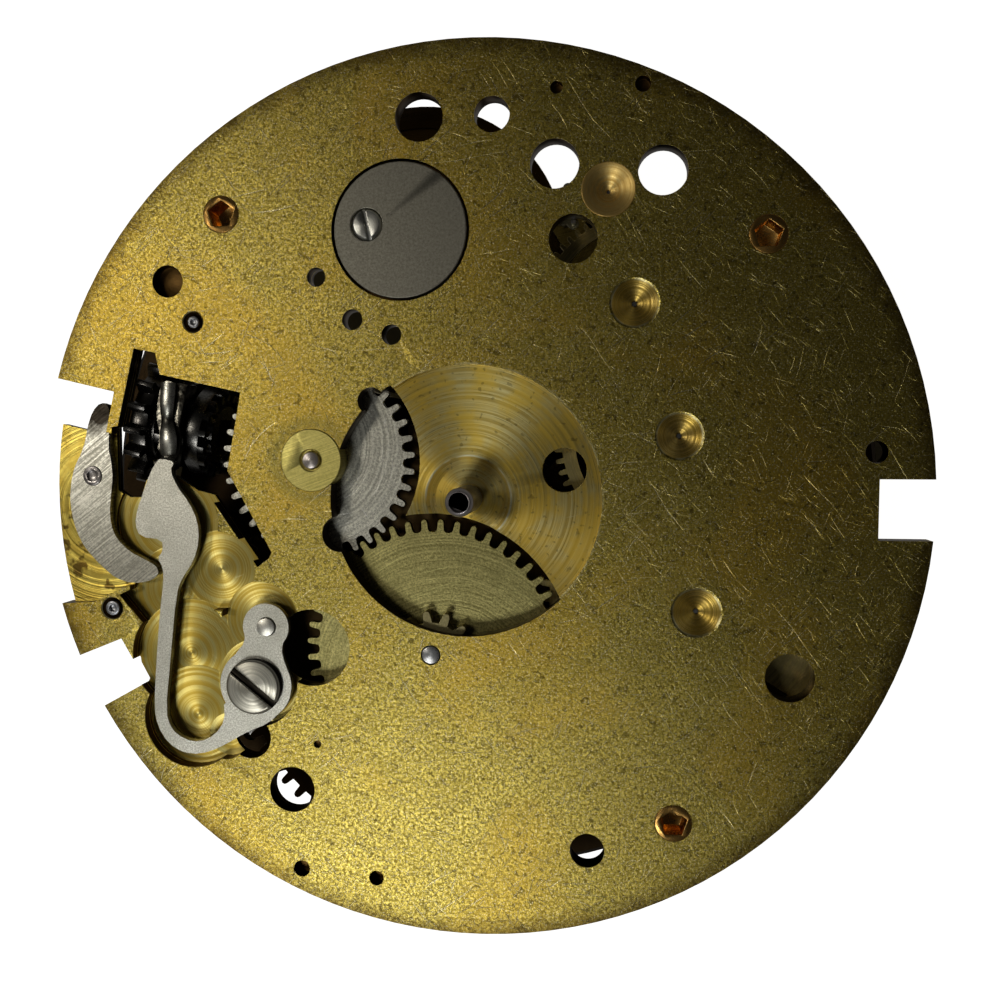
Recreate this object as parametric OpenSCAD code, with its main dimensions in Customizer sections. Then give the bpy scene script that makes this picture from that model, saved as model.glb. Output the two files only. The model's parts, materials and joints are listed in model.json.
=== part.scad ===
// Small round watch movement, seen and stored dial side up.
// Millimetres. Origin: centre of the dial face, on the axis of the hands.
// +Z points out of the dial side, +X points out along the winding stem axis.
// Positions below are written in a drawing frame whose stem axis lies at
// stem_dir degrees; every part is turned into the row frame by turned().

/* [Plates] */
// Radius of the main plate
plate_r = 14.65; // [14.6:0.05:14.8]
// Thickness of the main plate
plate_t = 0.7; // [0.68:0.01:0.72]
// Radius of the back plate
back_r = 13.9; // [13.8:0.1:14.2]
// Thickness of the back plate
back_t = 0.7; // [0.6:0.05:0.75]
// Clear height between the two plates
pillar_h = 2.9; // [2.85:0.05:2.95]
// Radius of a pillar
pillar_r = 1; // [0.9:0.05:1]

/* [Dial face] */
// Radius of the shallow recess for the hour wheel
hour_recess_r = 4.37; // [4.3:0.01:4.4]
// Depth of the hour wheel recess
hour_recess_d = 0.12; // [0.08:0.01:0.16]
// Height of the centre post above the dial face
post_h = 1.9; // [1.5:0.1:2.2]
// Radius of the centre post
post_r = 0.47; // [0.46:0.01:0.48]
// Depth of the recess that holds the return lever
lever_recess_d = 0.5; // [0.46:0.01:0.52]
// Depth of the ledge that the setting lever lies on
ledge_d = 0.35; // [0.34:0.01:0.38]

/* [Motion work] */
// Teeth of the setting wheel
setting_teeth = 36; // [36:1:36]
// Teeth of the minute wheel
minute_teeth = 48; // [48:1:48]
// Leaves of the minute pinion
minute_leaves = 12; // [12:1:12]

/* [Going train] */
// Teeth of the barrel
barrel_teeth = 72; // [72:1:72]
// Teeth of the second wheel, then leaves of the pinion that it drives
second_teeth = 60; // [60:1:60]
// Teeth of the third wheel
third_teeth = 64; // [64:1:64]
// Teeth of the fourth wheel
fourth_teeth = 60; // [60:1:60]
// Teeth of the escape wheel
escape_teeth = 15; // [15:1:15]
// Outer radius of the balance
balance_r = 5.18; // [5:0.02:5.18]

/* [Winding] */
// Height of the stem axis, below the dial face
stem_drop = 2.4; // [2.4:0.01:2.42]
// Teeth of the winding pinion
winding_teeth = 17; // [17:1:17]
// Teeth of the crown wheel
crown_teeth = 24; // [24:1:24]
// Teeth of the ratchet wheel
ratchet_teeth = 52; // [52:1:52]

/* [Hidden] */
$fn = 48;

// direction of the stem in the drawing frame, degrees
stem_dir = 166.9;
module turned() rotate([0, 0, -stem_dir]) children();
// a point given along (s) and across (t) the stem axis
function st(s, t) = [s * cos(stem_dir) + t * cos(stem_dir - 90),
                     s * sin(stem_dir) + t * sin(stem_dir - 90)];

// axes of the train, seen from the dial side
O = [0, 0];
A = [-5.25, 1.25];   // setting wheel
B = [-1.25, -5.2];   // barrel and minute wheel
C = [7.4, -3.6];     // second wheel
D = [6.8, 2.05];     // third wheel
E = [5.35, 6.25];    // fourth wheel
F = [4.5, 9.8];      // escape wheel
P = [3, 9.55];       // pallet fork
G = [-2.2, 8.7];     // balance
S_K = 8.5;
K = st(S_K, 0);      // crown wheel
pillar_at = [[-8.2, 9.35], [9.45, 8.3], [6.75, -10.55]];

// heights, measured down from the dial face
z_under = -plate_t;
z_back = -plate_t - pillar_h;
z_out = z_back - back_t;
z_stem = -stem_drop;
z_rat = z_out - 0.1;         // top of ratchet and crown wheels
rat_h = 0.38;

function dist(a, b) = norm(a - b);
function ang(a, b) = atan2(b[1] - a[1], b[0] - a[0]);
function pol(c, r, a) = [c[0] + r * cos(a), c[1] + r * sin(a)];
// phase of gear 2 that puts it in mesh with gear 1
function mesh(c1, n1, p1, c2, n2) =
  let (th = ang(c1, c2), u = (th - p1) * n1 / 360)
  th + 180 - (0.5 - u) * 360 / n2;

// modules of the meshing pairs
m_mot = dist(A, B) * 2 / (setting_teeth + minute_teeth);
m_min = dist(O, B) / 2 / minute_leaves;
m_bar = dist(B, C) * 2 / (barrel_teeth + 12);
m_sec = dist(C, D) * 2 / (second_teeth + 8);
m_thi = dist(D, E) * 2 / (third_teeth + 8);
m_fou = dist(E, F) * 2 / (fourth_teeth + 9);
m_rat = dist(K, B) * 2 / (ratchet_teeth + crown_teeth);

ph_minute = 87.1;
ph_setting = mesh(B, minute_teeth, ph_minute, A, setting_teeth);
ph_barrel = 2;
ph_second_p = mesh(B, barrel_teeth, ph_barrel, C, 12);
ph_second = 4;
ph_third_p = mesh(C, second_teeth, ph_second, D, 8);
ph_third = 1;
ph_fourth_p = mesh(D, third_teeth, ph_third, E, 8);
ph_fourth = 0;
ph_escape_p = mesh(E, fourth_teeth, ph_fourth, F, 9);
// the crown wheel has a gap on the stem axis, where the pinion has a tooth
ph_crown = stem_dir + 180 / crown_teeth;
ph_ratchet = mesh(K, crown_teeth, ph_crown, B, ratchet_teeth);

// colours
brass = [0.62, 0.53, 0.24];
pale = [0.55, 0.53, 0.33];
steel = [0.62, 0.63, 0.62];
dark = [0.35, 0.35, 0.36];
blue = [0.28, 0.3, 0.42];

// ---------- shared shapes ----------
// rounds the corners of a closed outline, one pass per level
function soften(p, n = 2, k = 0.25) = n <= 0 ? p :
  soften([for (i = [0 : len(p) - 1])
    let (a = p[i], b = p[(i + 1) % len(p)]) each [a + (b - a) * k, b - (b - a) * k]],
    n - 1, k);

// outline of a gear: narrow round-ended teeth and rounded gaps
function gear_pts(n, rt, rr, w0, w1, ph) = [for (i = [0 : n - 1])
  let (a = ph + i * 360 / n)
  for (q = [[rr, -w0], [rt - w1, -w1], [rt - 0.3 * w1, -0.72 * w1], [rt, 0],
            [rt - 0.3 * w1, 0.72 * w1], [rt - w1, w1], [rr, w0]])
  [q[0] * cos(a) - q[1] * sin(a), q[0] * sin(a) + q[1] * cos(a)]];

// a gear from its pitch radius; add and ded in modules, w as a share of pitch
module gear(n, m, h, ph = 0, add = 0.85, ded = 1.35, w = 0.42) {
  p = PI * m;
  linear_extrude(height = h)
    polygon(gear_pts(n, n * m / 2 + add * m, n * m / 2 - ded * m,
                     w * p * 0.56, w * p * 0.46, ph));
}

module at(p, z = 0) translate([p[0], p[1], z]) children();
module disc(p, r, z0, z1) at(p, z0) cylinder(r = r, h = z1 - z0);
module prism(pts, z0, z1) translate([0, 0, z0]) linear_extrude(height = z1 - z0) polygon(pts);

// flat bar with two round ends, tangent sides
module bar(p1, r1, p2, r2, z0, z1) {
  d = dist(p1, p2); a = ang(p1, p2); k = acos((r1 - r2) / d);
  disc(p1, r1, z0, z1);
  disc(p2, r2, z0, z1);
  prism([pol(p1, r1, a - k), pol(p2, r2, a - k), pol(p2, r2, a + k), pol(p1, r1, a + k)], z0, z1);
}

// window between the arms of a wheel, arc ends worked out from the radii
function window_pts(ri, ro, half) = concat(
  [for (i = [-5 : 5]) [ro * cos(half * i / 5), ro * sin(half * i / 5)]],
  [for (i = [3 : -1 : -3]) [ri * cos(half * 0.62 * i / 3), ri * sin(half * 0.62 * i / 3)]]);
module arms_out(c, n, ri, ro, half, z0, z1, ph = 0)
  for (i = [0 : n - 1]) at(c, z0) rotate([0, 0, ph + i * 360 / n])
    linear_extrude(height = z1 - z0) polygon(window_pts(ri, ro, half));

// slotted screw, head up at z = 0, shank below; up = 1 or -1
module screw(rh, hh, rs, ls, slot = 0.16, up = 1, turn = 0) {
  mirror([0, 0, up > 0 ? 0 : 1]) difference() {
    union() {
      rotate_extrude() polygon([[0, -hh], [rh, -hh], [rh, -0.08], [rh - 0.08, 0], [0, 0]]);
      translate([0, 0, -hh - ls]) cylinder(r = rs, h = ls + 0.02);
    }
    rotate([0, 0, turn]) translate([-rh - 1, -slot / 2, -hh * 0.5]) cube([2 * rh + 2, slot, 1]);
  }
}

// ---------- main plate ----------
through = [[-1.55, 12.25, 0.78], [0.8, 12.25, 0.57], [2.8, 10.65, 0.78], [6.2, 10.35, 0.78],
  [-6.05, -9.95, 0.78], [3.95, -11.6, 0.57], [3.4, 8.3, 0.78], [3.15, 0.95, 0.72],
  [-5.3, -5.05, 1.3], [-7.5, -8.2, 0.72], [10.35, -5.65, 0.78], [-3.8, 5.85, 0.34],
  [-2.5, 5.35, 0.33], [-5, 7.25, 0.31]];
blind = [[-10.1, 7.2, 0.53, 0.4], [2.85, 13, 0.2, 0.25], [5.55, 13, 0.25, 0.3],
  [-5.75, -12.7, 0.28, 0.4], [-3.15, -12.9, 0.25, 0.4], [-5.15, -8.35, 0.13, 0.15]];
sinks = [[C, 0.82, 0.14], [D, 0.78, 0.12], [E, 0.8, 0.12]];

pocket = [[-11.35, 5.0], [-10.6, 4.85], [-10.45, 4.12], [-7.65, 3.5], [-8.15, 0.9],
  [-6.65, -1.85], [-6.75, -2.05], [-7.15, -2.35], [-8.8, 0.05], [-9.4, 0.2], [-10.2, 0.7],
  [-11, 0.7], [-11.25, 0.55], [-11.45, -0.05], [-11.85, -0.05], [-12.2, 0.2], [-12.2, 2.35],
  [-11.98, 2.4]];
ledge = [[-16, 3.0], [-13, 2.3], [-12, 2.1], [-12, 0.1], [-12, -0.5], [-11.6, -2],
  [-10.6, -2.5], [-10.6, -2.8], [-11.2, -3], [-11.9, -3.1], [-12.4, -3.35], [-13, -3.65],
  [-16, -3.8]];
low_notch = [[-12.05, -4.9], [-16, -6.5], [-14.5, -8.25], [-11.36, -6.5], [-11.3, -6.38],
  [-11.6, -5.82], [-11.62, -5.65]];
lever_pits = [[-9.75, -5.45, 1.9], [-7.1, -4.2, 1.35], [-7.3, -6.35, 1.48], [-9.55, -7.6, 1.72],
  [-10.2, -3.2, 1.5], [-10.4, -0.9, 1.9], [-8.6, -2.5, 1.35], [-8.4, -8.25, 0.75]];

module main_plate() color(brass) turned() {
  difference() {
    disc(O, plate_r, z_under, 0);
    // recess for the hour wheel, and the cone around the centre post
    disc(O, hour_recess_r, -hour_recess_d, 1);
    at(O, -0.3) cylinder(r1 = 1.12, r2 = 1.42, h = 0.3 - hour_recess_d);
    disc(O, post_r - 0.18, -2, 0);
    // openings over the setting wheel and the minute wheel
    intersection() {
      disc([-0.1, -0.05], 4.5, -2, 1);
      union() { disc(B, 4.7, -2, 1); disc(A, 3.65, -2, 1); }
    }
    disc([-4.3, -1.2], 0.6, -2, 1);
    disc([-3.2, 3.2], 0.45, -2, 1);
    // stem notch, right notch and lower notch
    prism([st(12.58, 0.72), st(17, 0.72), st(17, -0.8), st(12.58, -0.8)], -2, 1);
    prism([[12.95, 0.7], [16, 0.7], [16, -1.22], [12.95, -1.22]], -2, 1);
    prism(low_notch, -2, 1);
    // slot of the winding pinion and pocket of the sliding pinion
    prism(pocket, -2, 1);
    // ledge of the setting lever, with a smaller edge
    prism(ledge, -ledge_d, 1);
    difference() {
      prism([[-16, 3.0], [-12.5, 2.2], [-12.5, -3.35], [-13, -3.65], [-16, -3.8]], -2, 1);
      disc(O, 14.37, -3, 2);
    }
    // recess of the return lever
    for (q = lever_pits) disc([q[0], q[1]], q[2], -lever_recess_d, 1);
    prism([[-12.08, -3.38], [-11.32, -4.27], [-10.9, -4.6], [-10.4, -3.2], [-11.5, -3.1]],
      -lever_recess_d, 1);
    // threaded hole and post hole of the return lever
    disc([-7.3, -6.4], 0.36, -2, 1);
    disc([-6.88, -4.38], 0.29, -2, 1);
    // setting lever axle
    disc([-12.95, 0.7], 0.32, -2, 1);
    // pillar rivets
    for (p = pillar_at) disc(p, 0.61, -2, 1);
    // bushes
    disc(F, 0.86, -2, 1);
    disc(A, 1.04, -2, 1);
    // barrel arbor, and room under the plate for the minute pinion
    disc(B, 0.33, -2, 1);
    disc(B, m_min * minute_leaves / 2 + 0.36, -2, -0.3);
    // turned oil sinks
    for (q = sinks) {
      at(q[0], -0.28) cylinder(r1 = 0.1, r2 = q[1], h = 0.2801);
      disc(q[0], 0.085, -2, 0);
    }
    // lower cap of the balance: seat, screw and pivot hole
    disc(G, 2.27, -0.3, 1);
    disc(G, 0.13, -2, 0);
    disc([-3.3, 8.9], 0.21, -2, 0);
    // dial foot hole
    disc([12.85, 1.55], 0.35, -2, 1);
    // steel pins in countersinks
    disc([-9.25, 5.85], 0.21, -2, 1);
    at([-9.25, 5.85], -0.15) cylinder(r1 = 0.21, r2 = 0.37, h = 0.1501);
    disc([-12.35, -3.85], 0.26, -2, 1);
    at([-12.35, -3.85], -0.15) cylinder(r1 = 0.26, r2 = 0.4, h = 0.1501);
    for (q = through) disc([q[0], q[1]], q[2], -2, 1);
    for (q = blind) disc([q[0], q[1]], q[2], -q[3], 1);
  }
}

// three pillars, riveted in the main plate, each with a five-sided broached end
module pillars() color(brass) turned() for (p = pillar_at) difference() {
  union() {
    disc(p, pillar_r, z_back, z_under);
    disc(p, 0.6, z_under - 0.1, 0.02);
    disc(p, 0.54, z_back - 0.3, z_back + 0.1);
  }
  at(p, -0.8) rotate([0, 0, 18]) cylinder(r = 0.46, h = 2, $fn = 5);
  disc(p, 0.27, z_back - 1, z_back + 1.1);
}

module centre_post() color(steel) turned() difference() {
  union() {
    disc(O, post_r - 0.19, z_under, -0.2);
    rotate_extrude() polygon([[0, -0.29], [post_r - 0.02, -0.29], [post_r - 0.02, post_h - 0.1],
      [post_r - 0.12, post_h], [0, post_h]]);
  }
  disc(O, 0.29, post_h - 0.1, 3);
  disc(O, 0.13, post_h - 0.5, 3);
}

module escape_bush() color(brass) turned() difference() {
  disc(F, 0.855, z_under, 0.02);
  at(F, -0.11) cylinder(r1 = 0.48, r2 = 0.83, h = 0.1301);
  at(F, -0.32) cylinder(r1 = 0.08, r2 = 0.48, h = 0.2101);
  disc(F, 0.065, -2, 1);
}

module setting_bush() color(brass) turned() difference() {
  disc(A, 1.035, z_under, 0.04);
  disc(A, 0.3, -2, 1);
  disc(A, 0.37, -0.08, 1);
}

module balance_cap() color(dark) turned() difference() {
  disc(G, 2.19, -0.29, 0.01);
  disc([-3.3, 8.9], 0.25, -2, 1);
  disc([-3.3, 8.9], 0.52, -0.16, 1);
}

module cap_screw() color(steel) turned()
  at([-3.3, 8.9], 0.03) screw(0.5, 0.18, 0.2, 0.42, 0.13, 1, 103);

module dial_pins() color(steel) turned() {
  difference() {
    disc([-9.25, 5.85], 0.2, z_under, -0.03);
    disc([-9.25, 5.85], 0.08, -0.1, 1);
  }
  difference() {
    disc([-12.35, -3.85], 0.25, z_under, -0.02);
    disc([-12.35, -3.85], 0.11, -0.12, 1);
  }
}

// ---------- keyless work ----------
boss_at = [-7.28, -6.38];
post_at = [-6.9, -4.38];
leg = [[-8.42, -6.9], [-8.4, -7.65], [-8.75, -8.15], [-9.3, -8.42], [-9.85, -8.35],
  [-10.32, -8.0], [-10.5, -7.4], [-10.3, -5.6], [-10.02, -3.25], [-9.8, -2.75], [-9.4, -2.2],
  [-9.18, -1.5], [-9.22, -0.8], [-9.5, -0.2], [-9.95, 0.4], [-10.15, 0.9],
  [-9.98, 1.2], [-10.5, 1.3], [-10.62, 1.2], [-10.8, 0.95], [-10.98, 0.55],
  [-11.15, 0.1], [-11.35, -0.4], [-11.46, -0.95], [-11.28, -1.38], [-10.5, -1.45],
  [-10.48, -1.85], [-10.68, -2.1], [-10.5, -2.4], [-10.48, -2.9], [-10.62, -3.8],
  [-10.8, -5.6], [-10.92, -7.25], [-10.82, -7.9], [-10.45, -8.5], [-9.9, -8.82], [-9.3, -8.85],
  [-8.6, -8.6], [-7.6, -8.0], [-6.85, -7.7], [-6.3, -7.15], [-7.2, -6.4]];
blade_s = 10.32;
blade_out = [[-10.6, 4.0], [-10.78, 3.4], [-10.87, 2.75], [-10.74, 2.1], [-10.88, 1.5], [-10.9, 1.1],
  [-10.7, 0.86], [-10.2, 0.86], [-10.14, 1.15], [-10.03, 1.6], [-9.98, 2.1], [-10.2, 2.75], [-10.12, 3.3],
  [-10.02, 3.82]];
module return_lever() color(steel) turned() difference() {
  union() {
    disc(boss_at, 1.25, -0.28, 0);
    disc(post_at, 0.8, -0.28, 0);
    prism(soften([[-7.68, -4.4], [-7.62, -4.9], [-8.0, -5.35], [-8.4, -6], [-6.1, -6],
      [-6.35, -5.3], [-6.32, -4.95], [-6.12, -4.4]], 1), -0.28, 0);
    prism(soften(leg, 1), -0.28, 0);
    // blade that stands in the groove of the sliding pinion
    prism([st(blade_s, -1.4), st(blade_s + 0.3, -1.4), st(blade_s + 0.3, 1.5),
      st(blade_s, 1.5)], z_stem + 1.1, -0.5);
    prism(soften(blade_out, 1), -0.74, -0.26);
  }
  disc([-7.3, -6.4], 0.42, -2, 1);
  disc([-6.88, -4.38], 0.33, -2, 1);
}

module return_lever_screw() color(steel) turned()
  at([-7.3, -6.4], 0.26) screw(0.95, 0.25, 0.35, 0.68, 0.23, 1, -39);

module return_lever_post() color(steel) turned() {
  disc([-6.88, -4.38], 0.28, z_under, -0.5);
  disc([-6.88, -4.38], 0.31, -0.5, 0.08);
}

lever_axis = [-12.95, 0.7];
lever_out = [[-12.6, 3.2], [-12.9, 2.9], [-13.1, 2.35], [-13.18, 1.9], [-13.35, 1.45],
  [-13.58, 1.05], [-13.72, 0.6], [-13.8, 0], [-13.75, -0.6], [-13.6, -1.2], [-13.35, -1.7],
  [-13, -2.12], [-12.6, -2.5], [-12.2, -2.82], [-11.65, -2.98], [-11.1, -2.92],
  [-10.78, -2.78], [-10.66, -2.6], [-10.75, -2.35], [-11.2, -2.12], [-11.7, -1.88],
  [-12.15, -1.45], [-12.35, -0.95], [-12.36, -0.4], [-12.3, 0.1], [-12.22, 0.7],
  [-12.27, 1.2], [-12.35, 1.6], [-12.33, 2.1], [-12.3, 2.6], [-12.3, 3.1]];
module setting_lever() color(steel) turned() difference() {
  union() {
    prism(soften(lever_out, 1), -0.33, -0.04);
    // stud that drops into the groove of the stem
    disc(st(12.95, -0.05), 0.26, z_stem + 0.85, -0.3);
  }
  disc(lever_axis, 0.34, -2, 1);
}

module setting_lever_screw() color(steel) turned() difference() {
  union() {
    disc(lever_axis, 0.33, -0.34, -0.01);
    disc(lever_axis, 0.3, z_under - 0.1, -0.3);
    disc(lever_axis, 0.48, z_under - 0.35, z_under - 0.05);
  }
  disc(lever_axis, 0.18, -0.08, 1);
  at(lever_axis, z_under - 0.6) rotate([0, 0, 30]) translate([-1, -0.07, 0]) cube([2, 0.14, 0.35]);
}

// turns a shape whose axis is Z to lie along the stem, from s = s0 outwards
module on_stem(s0, spin = 0) turned() rotate([0, 0, stem_dir]) translate([s0, 0, z_stem])
  rotate([0, 90, 0]) rotate([0, 0, spin]) children();

// saw teeth of the two facing ends, 12 around
module saw_ring(ri, ro, z0, z1) for (i = [0 : 11]) rotate([0, 0, i * 30])
  translate([0, 0, z0]) linear_extrude(height = z1 - z0)
    polygon([[ri, 0], [ro, 0], [ro * cos(13), ro * sin(13)], [ri * cos(13), ri * sin(13)]]);

module winding_pinion() color(dark) on_stem(11.45) difference() {
  union() {
    gear(winding_teeth, m_rat, 0.6, 0, 0.55, 1.05, 0.36);
    saw_ring(1.05, 1.5, -0.3, 0);
    translate([0, 0, -0.08]) cylinder(r = 1.55, h = 0.2);
  }
  translate([0, 0, -1]) cylinder(r = 0.62, h = 3);
}

// slides along the stem: saw teeth outside, groove, crown teeth inside
module sliding_pinion() color(steel) on_stem(9.5) difference() {
  union() {
    cylinder(r = 1, h = 1.6);
    translate([0, 0, 0.22]) cylinder(r = 1.62, h = 0.5);
    translate([0, 0, 1.2]) cylinder(r = 1.55, h = 0.2);
    rotate([0, 0, 15.5]) saw_ring(1.1, 1.5, 1.3, 1.7);
    // crown teeth; one at the top is ready to enter a gap of the setting wheel
    for (i = [0 : 16]) rotate([0, 0, 178.4 + i * 360 / 17])
      translate([1.2, -0.1, 0]) cube([0.4, 0.2, 0.3]);
  }
  // square hole for the stem
  translate([-0.5, -0.5, -1]) cube([1, 1, 4]);
}

// ---------- motion work ----------
module setting_wheel() color(steel) turned() difference() {
  at(A, z_under - 0.35) gear(setting_teeth, m_mot, 0.27, ph_setting, 0.6, 1.7, 0.38);
  disc(A, 0.42, -3, 0);
}
module setting_arbor() color(steel) turned() {
  disc(A, 0.275, z_under - 0.1, 0.07);
  disc(A, 0.41, z_under - 0.5, z_under - 0.06);
  disc(A, 0.7, z_under - 0.5, z_under - 0.36);
}
module minute_wheel() color(pale) turned() difference() {
  at(B, z_under - 0.35) gear(minute_teeth, m_mot, 0.27, ph_minute, 0.68, 1.7, 0.38);
  disc(B, 0.62, -3, 0);
}
module minute_pinion() color(brass) turned() difference() {
  union() {
    at(B, z_under - 0.07) gear(minute_leaves, m_min * 1, 0.44, 99, 0.4, 1.4, 0.4);
    disc(B, 0.61, z_under - 0.36, z_under);
  }
  disc(B, 0.33, -3, 1);
}

// ---------- barrel ----------
br_top = -1.6;
module barrel_drum() color(brass) turned() difference() {
  union() {
    disc(B, 6.95, -3.35, br_top);
    at(B, br_top - 0.4) gear(barrel_teeth, m_bar, 0.4, ph_barrel, 0.8, 1.2, 0.42);
  }
  disc(B, 6.6, -3.05, 1);
  disc(B, 0.64, -5, 1);
}
module barrel_cover() color(pale) turned() difference() {
  union() {
    disc(B, 6.59, br_top - 0.24, br_top);
    disc(B, 1.2, br_top - 0.1, -1.13);
  }
  disc(B, 0.59, -5, 1);
  disc([-1.25, -10.2], 0.5, -5, 1);
}
module barrel_arbor() color(steel) turned() difference() {
  union() {
    disc(B, 0.3, -1.2, 0.01);
    disc(B, 0.56, -1.9, -1.15);
    disc(B, 1.1, -3.02, -1.87);
    disc(B, 0.6, z_rat - 0.02, -3);
    at(B, z_rat - rat_h) rotate([0, 0, 20]) translate([-0.4, -0.4, 0]) cube([0.8, 0.8, rat_h + 0.1]);
  }
  disc(B, 0.24, -6, z_out + 0.9);
}
function spiral(r0, r1, turns, step, ph = 0) = [for (i = [0 : turns * step])
  let (a = ph + i * 360 / step, r = r0 + (r1 - r0) * i / (turns * step)) [r * cos(a), r * sin(a)]];
module strip(r0, r1, turns, step, w, h, ph = 0) linear_extrude(height = h) polygon(concat(
  spiral(r0, r1, turns, step, ph),
  [for (i = [turns * step : -1 : 0]) spiral(r0 + w, r1 + w, turns, step, ph)[i]]));
module mainspring() color(blue) turned() at(B, -2.95)
  strip(1.12, 6.44, 12, 20, 0.13, 1.0);

// ---------- going train ----------
module second_wheel() color(brass) turned() difference() {
  at(C, -1.4) gear(second_teeth, m_sec, 0.2, ph_second, 0.9, 1.3, 0.42);
  arms_out(C, 4, 1.9, 4.25, 36, -2, 0, 11);
  disc(C, 0.46, -3, 0);
}
module second_pinion() color(steel) turned() {
  disc(C, 0.07, -0.75, -0.28);
  disc(C, 0.32, -1.2, z_under - 0.04);
  disc(C, 0.45, -1.5, -1.15);
  at(C, -2.15) gear(12, m_bar, 0.68, ph_second_p, 0.5, 1.25, 0.38);
  disc(C, 0.45, z_back + 0.04, -2.1);
  disc(C, 0.18, z_out + 0.05, z_back + 0.1);
}
module third_wheel() color(brass) turned() difference() {
  at(D, -0.98) gear(third_teeth, m_thi, 0.18, ph_third, 0.9, 1.3, 0.42);
  arms_out(D, 4, 1.5, 3.35, 35, -2, 0, 20);
  disc(D, 0.36, -3, 0);
}
module third_pinion() color(steel) turned() {
  disc(D, 0.07, -0.75, -0.28);
  disc(D, 0.35, -1.1, z_under - 0.04);
  at(D, -1.55) gear(8, m_sec, 0.5, ph_third_p, 0.6, 1.25, 0.36);
  disc(D, 0.3, z_back + 0.04, -1.5);
  disc(D, 0.15, z_out + 0.05, z_back + 0.1);
}
module fourth_wheel() color(brass) turned() difference() {
  at(E, -1.75) gear(fourth_teeth, m_fou, 0.18, ph_fourth, 0.9, 1.3, 0.42);
  arms_out(E, 4, 1.2, 2.65, 35, -3, 0, 40);
  disc(E, 0.31, -3, 0);
}
module fourth_pinion() color(steel) turned() {
  disc(E, 0.07, -0.75, -0.28);
  at(E, -1.15) gear(8, m_thi, 0.4, ph_fourth_p, 0.6, 1.2, 0.36);
  disc(E, 0.3, -1.9, -1.1);
  disc(E, 0.25, z_back + 0.04, -1.85);
  disc(E, 0.12, z_out + 0.05, z_back + 0.1);
}
function escape_pts(n, r, ph) = [for (i = [0 : n - 1]) let (a = ph + i * 360 / n)
  each [pol(O, r * 0.68, a - 5), pol(O, r, a), pol(O, r * 0.97, a + 3), pol(O, r * 0.7, a + 8)]];
module escape_wheel() color(brass) turned() difference() {
  at(F, -1.05) linear_extrude(height = 0.18) polygon(escape_pts(escape_teeth, 1.15, 7));
  disc(F, 0.26, -3, 0);
}
module escape_pinion() color(steel) turned() {
  disc(F, 0.05, -0.75, -0.38);
  disc(F, 0.25, -1.45, z_under - 0.04);
  at(F, -1.95) gear(9, m_fou, 0.55, ph_escape_p, 0.6, 1.2, 0.36);
  disc(F, 0.2, z_back + 0.04, -1.9);
  disc(F, 0.1, z_out + 0.05, z_back + 0.1);
}

// ---------- escapement ----------
fork_a = ang(P, G);
fork_l = dist(P, G) - 0.9;
pin_a = [25, -25];
function pin_at(i) = pol(F, 1.37, ang(F, P) + pin_a[i]);
module pallet_fork() color(pale) turned() difference() {
  union() {
    disc(P, 0.55, -1.35, -1.15);
    bar(P, 0.42, pol(P, fork_l * 0.6, fork_a), 0.2, -1.35, -1.15);
    bar(pol(P, fork_l * 0.6, fork_a), 0.2, pol(P, fork_l, fork_a), 0.42, -1.35, -1.15);
    bar(P, 0.3, pin_at(0), 0.17, -1.35, -1.15);
    bar(P, 0.3, pin_at(1), 0.17, -1.35, -1.15);
  }
  at(P) rotate([0, 0, fork_a]) translate([fork_l - 0.12, -0.14, -2]) cube([2, 0.28, 2]);
  for (i = [0, 1]) disc(pin_at(i), 0.085, -2, 0);
  disc(P, 0.205, -2, 0);
}
module pallet_arbor() color(steel) turned() {
  disc(P, 0.08, -0.9, -0.5);
  disc(P, 0.2, -3.2, -0.85);
  disc(P, 0.08, -3.5, -3.1);
}
module pallet_pins() color(steel) turned() for (i = [0, 1]) disc(pin_at(i), 0.08, -1.35, -0.82);

module pallet_cock() color(brass) turned() difference() {
  bar(P, 0.5, [4.6, 7.3], 0.75, z_back, z_back + 0.35);
  disc(P, 0.1, -5, 0);
  disc([4.6, 7.3], 0.23, -5, 0);
}
module pallet_cock_screw() color(steel) turned()
  at([4.6, 7.3], z_out - 0.26) screw(0.55, 0.25, 0.22, 0.95, 0.13, -1, 20);

module balance_wheel() color(brass) turned() difference() {
  union() {
    difference() { disc(G, balance_r, -4.2, -3.75); disc(G, 4.42, -5, 0); }
    // two arms that widen towards the rim
    for (a = [91, 271]) at(G, -4.08) rotate([0, 0, a]) linear_extrude(height = 0.22)
      polygon([[0, -0.4], [2.4, -0.36], [3.5, -0.62], [4.5, -1.35], [4.6, 0], [4.5, 1.35],
        [3.5, 0.62], [2.4, 0.36], [0, 0.4]]);
    disc(G, 0.75, -4.08, -3.86);
  }
  disc(G, 0.355, -5, 0);
}
module balance_staff() color(steel) turned() {
  disc(G, 0.1, -0.9, -0.33);
  disc(G, 0.25, -1.65, -0.8);
  disc(G, 0.35, -4.35, -1.6);
  disc(G, 0.25, -4.8, -4.3);
  disc(G, 0.1, -5.52, -4.75);
}
// single roller on the staff, with its upright impulse pin
module impulse_roller() color(brass) turned() difference() {
  union() {
    disc(G, 1.1, -1.85, -1.65);
    disc(pol(G, 0.9, fork_a + 180), 0.1, -1.7, -1.41);
  }
  disc(G, 0.355, -3, 0);
}
module hairspring_collet() color(brass) turned() difference() {
  disc(G, 0.55, -4.66, -4.42);
  disc(G, 0.255, -6, 0);
}
module hairspring() color(blue) turned() at(G, -4.6) strip(0.53, 2.4, 8, 24, 0.05, 0.14, 60);

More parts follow.
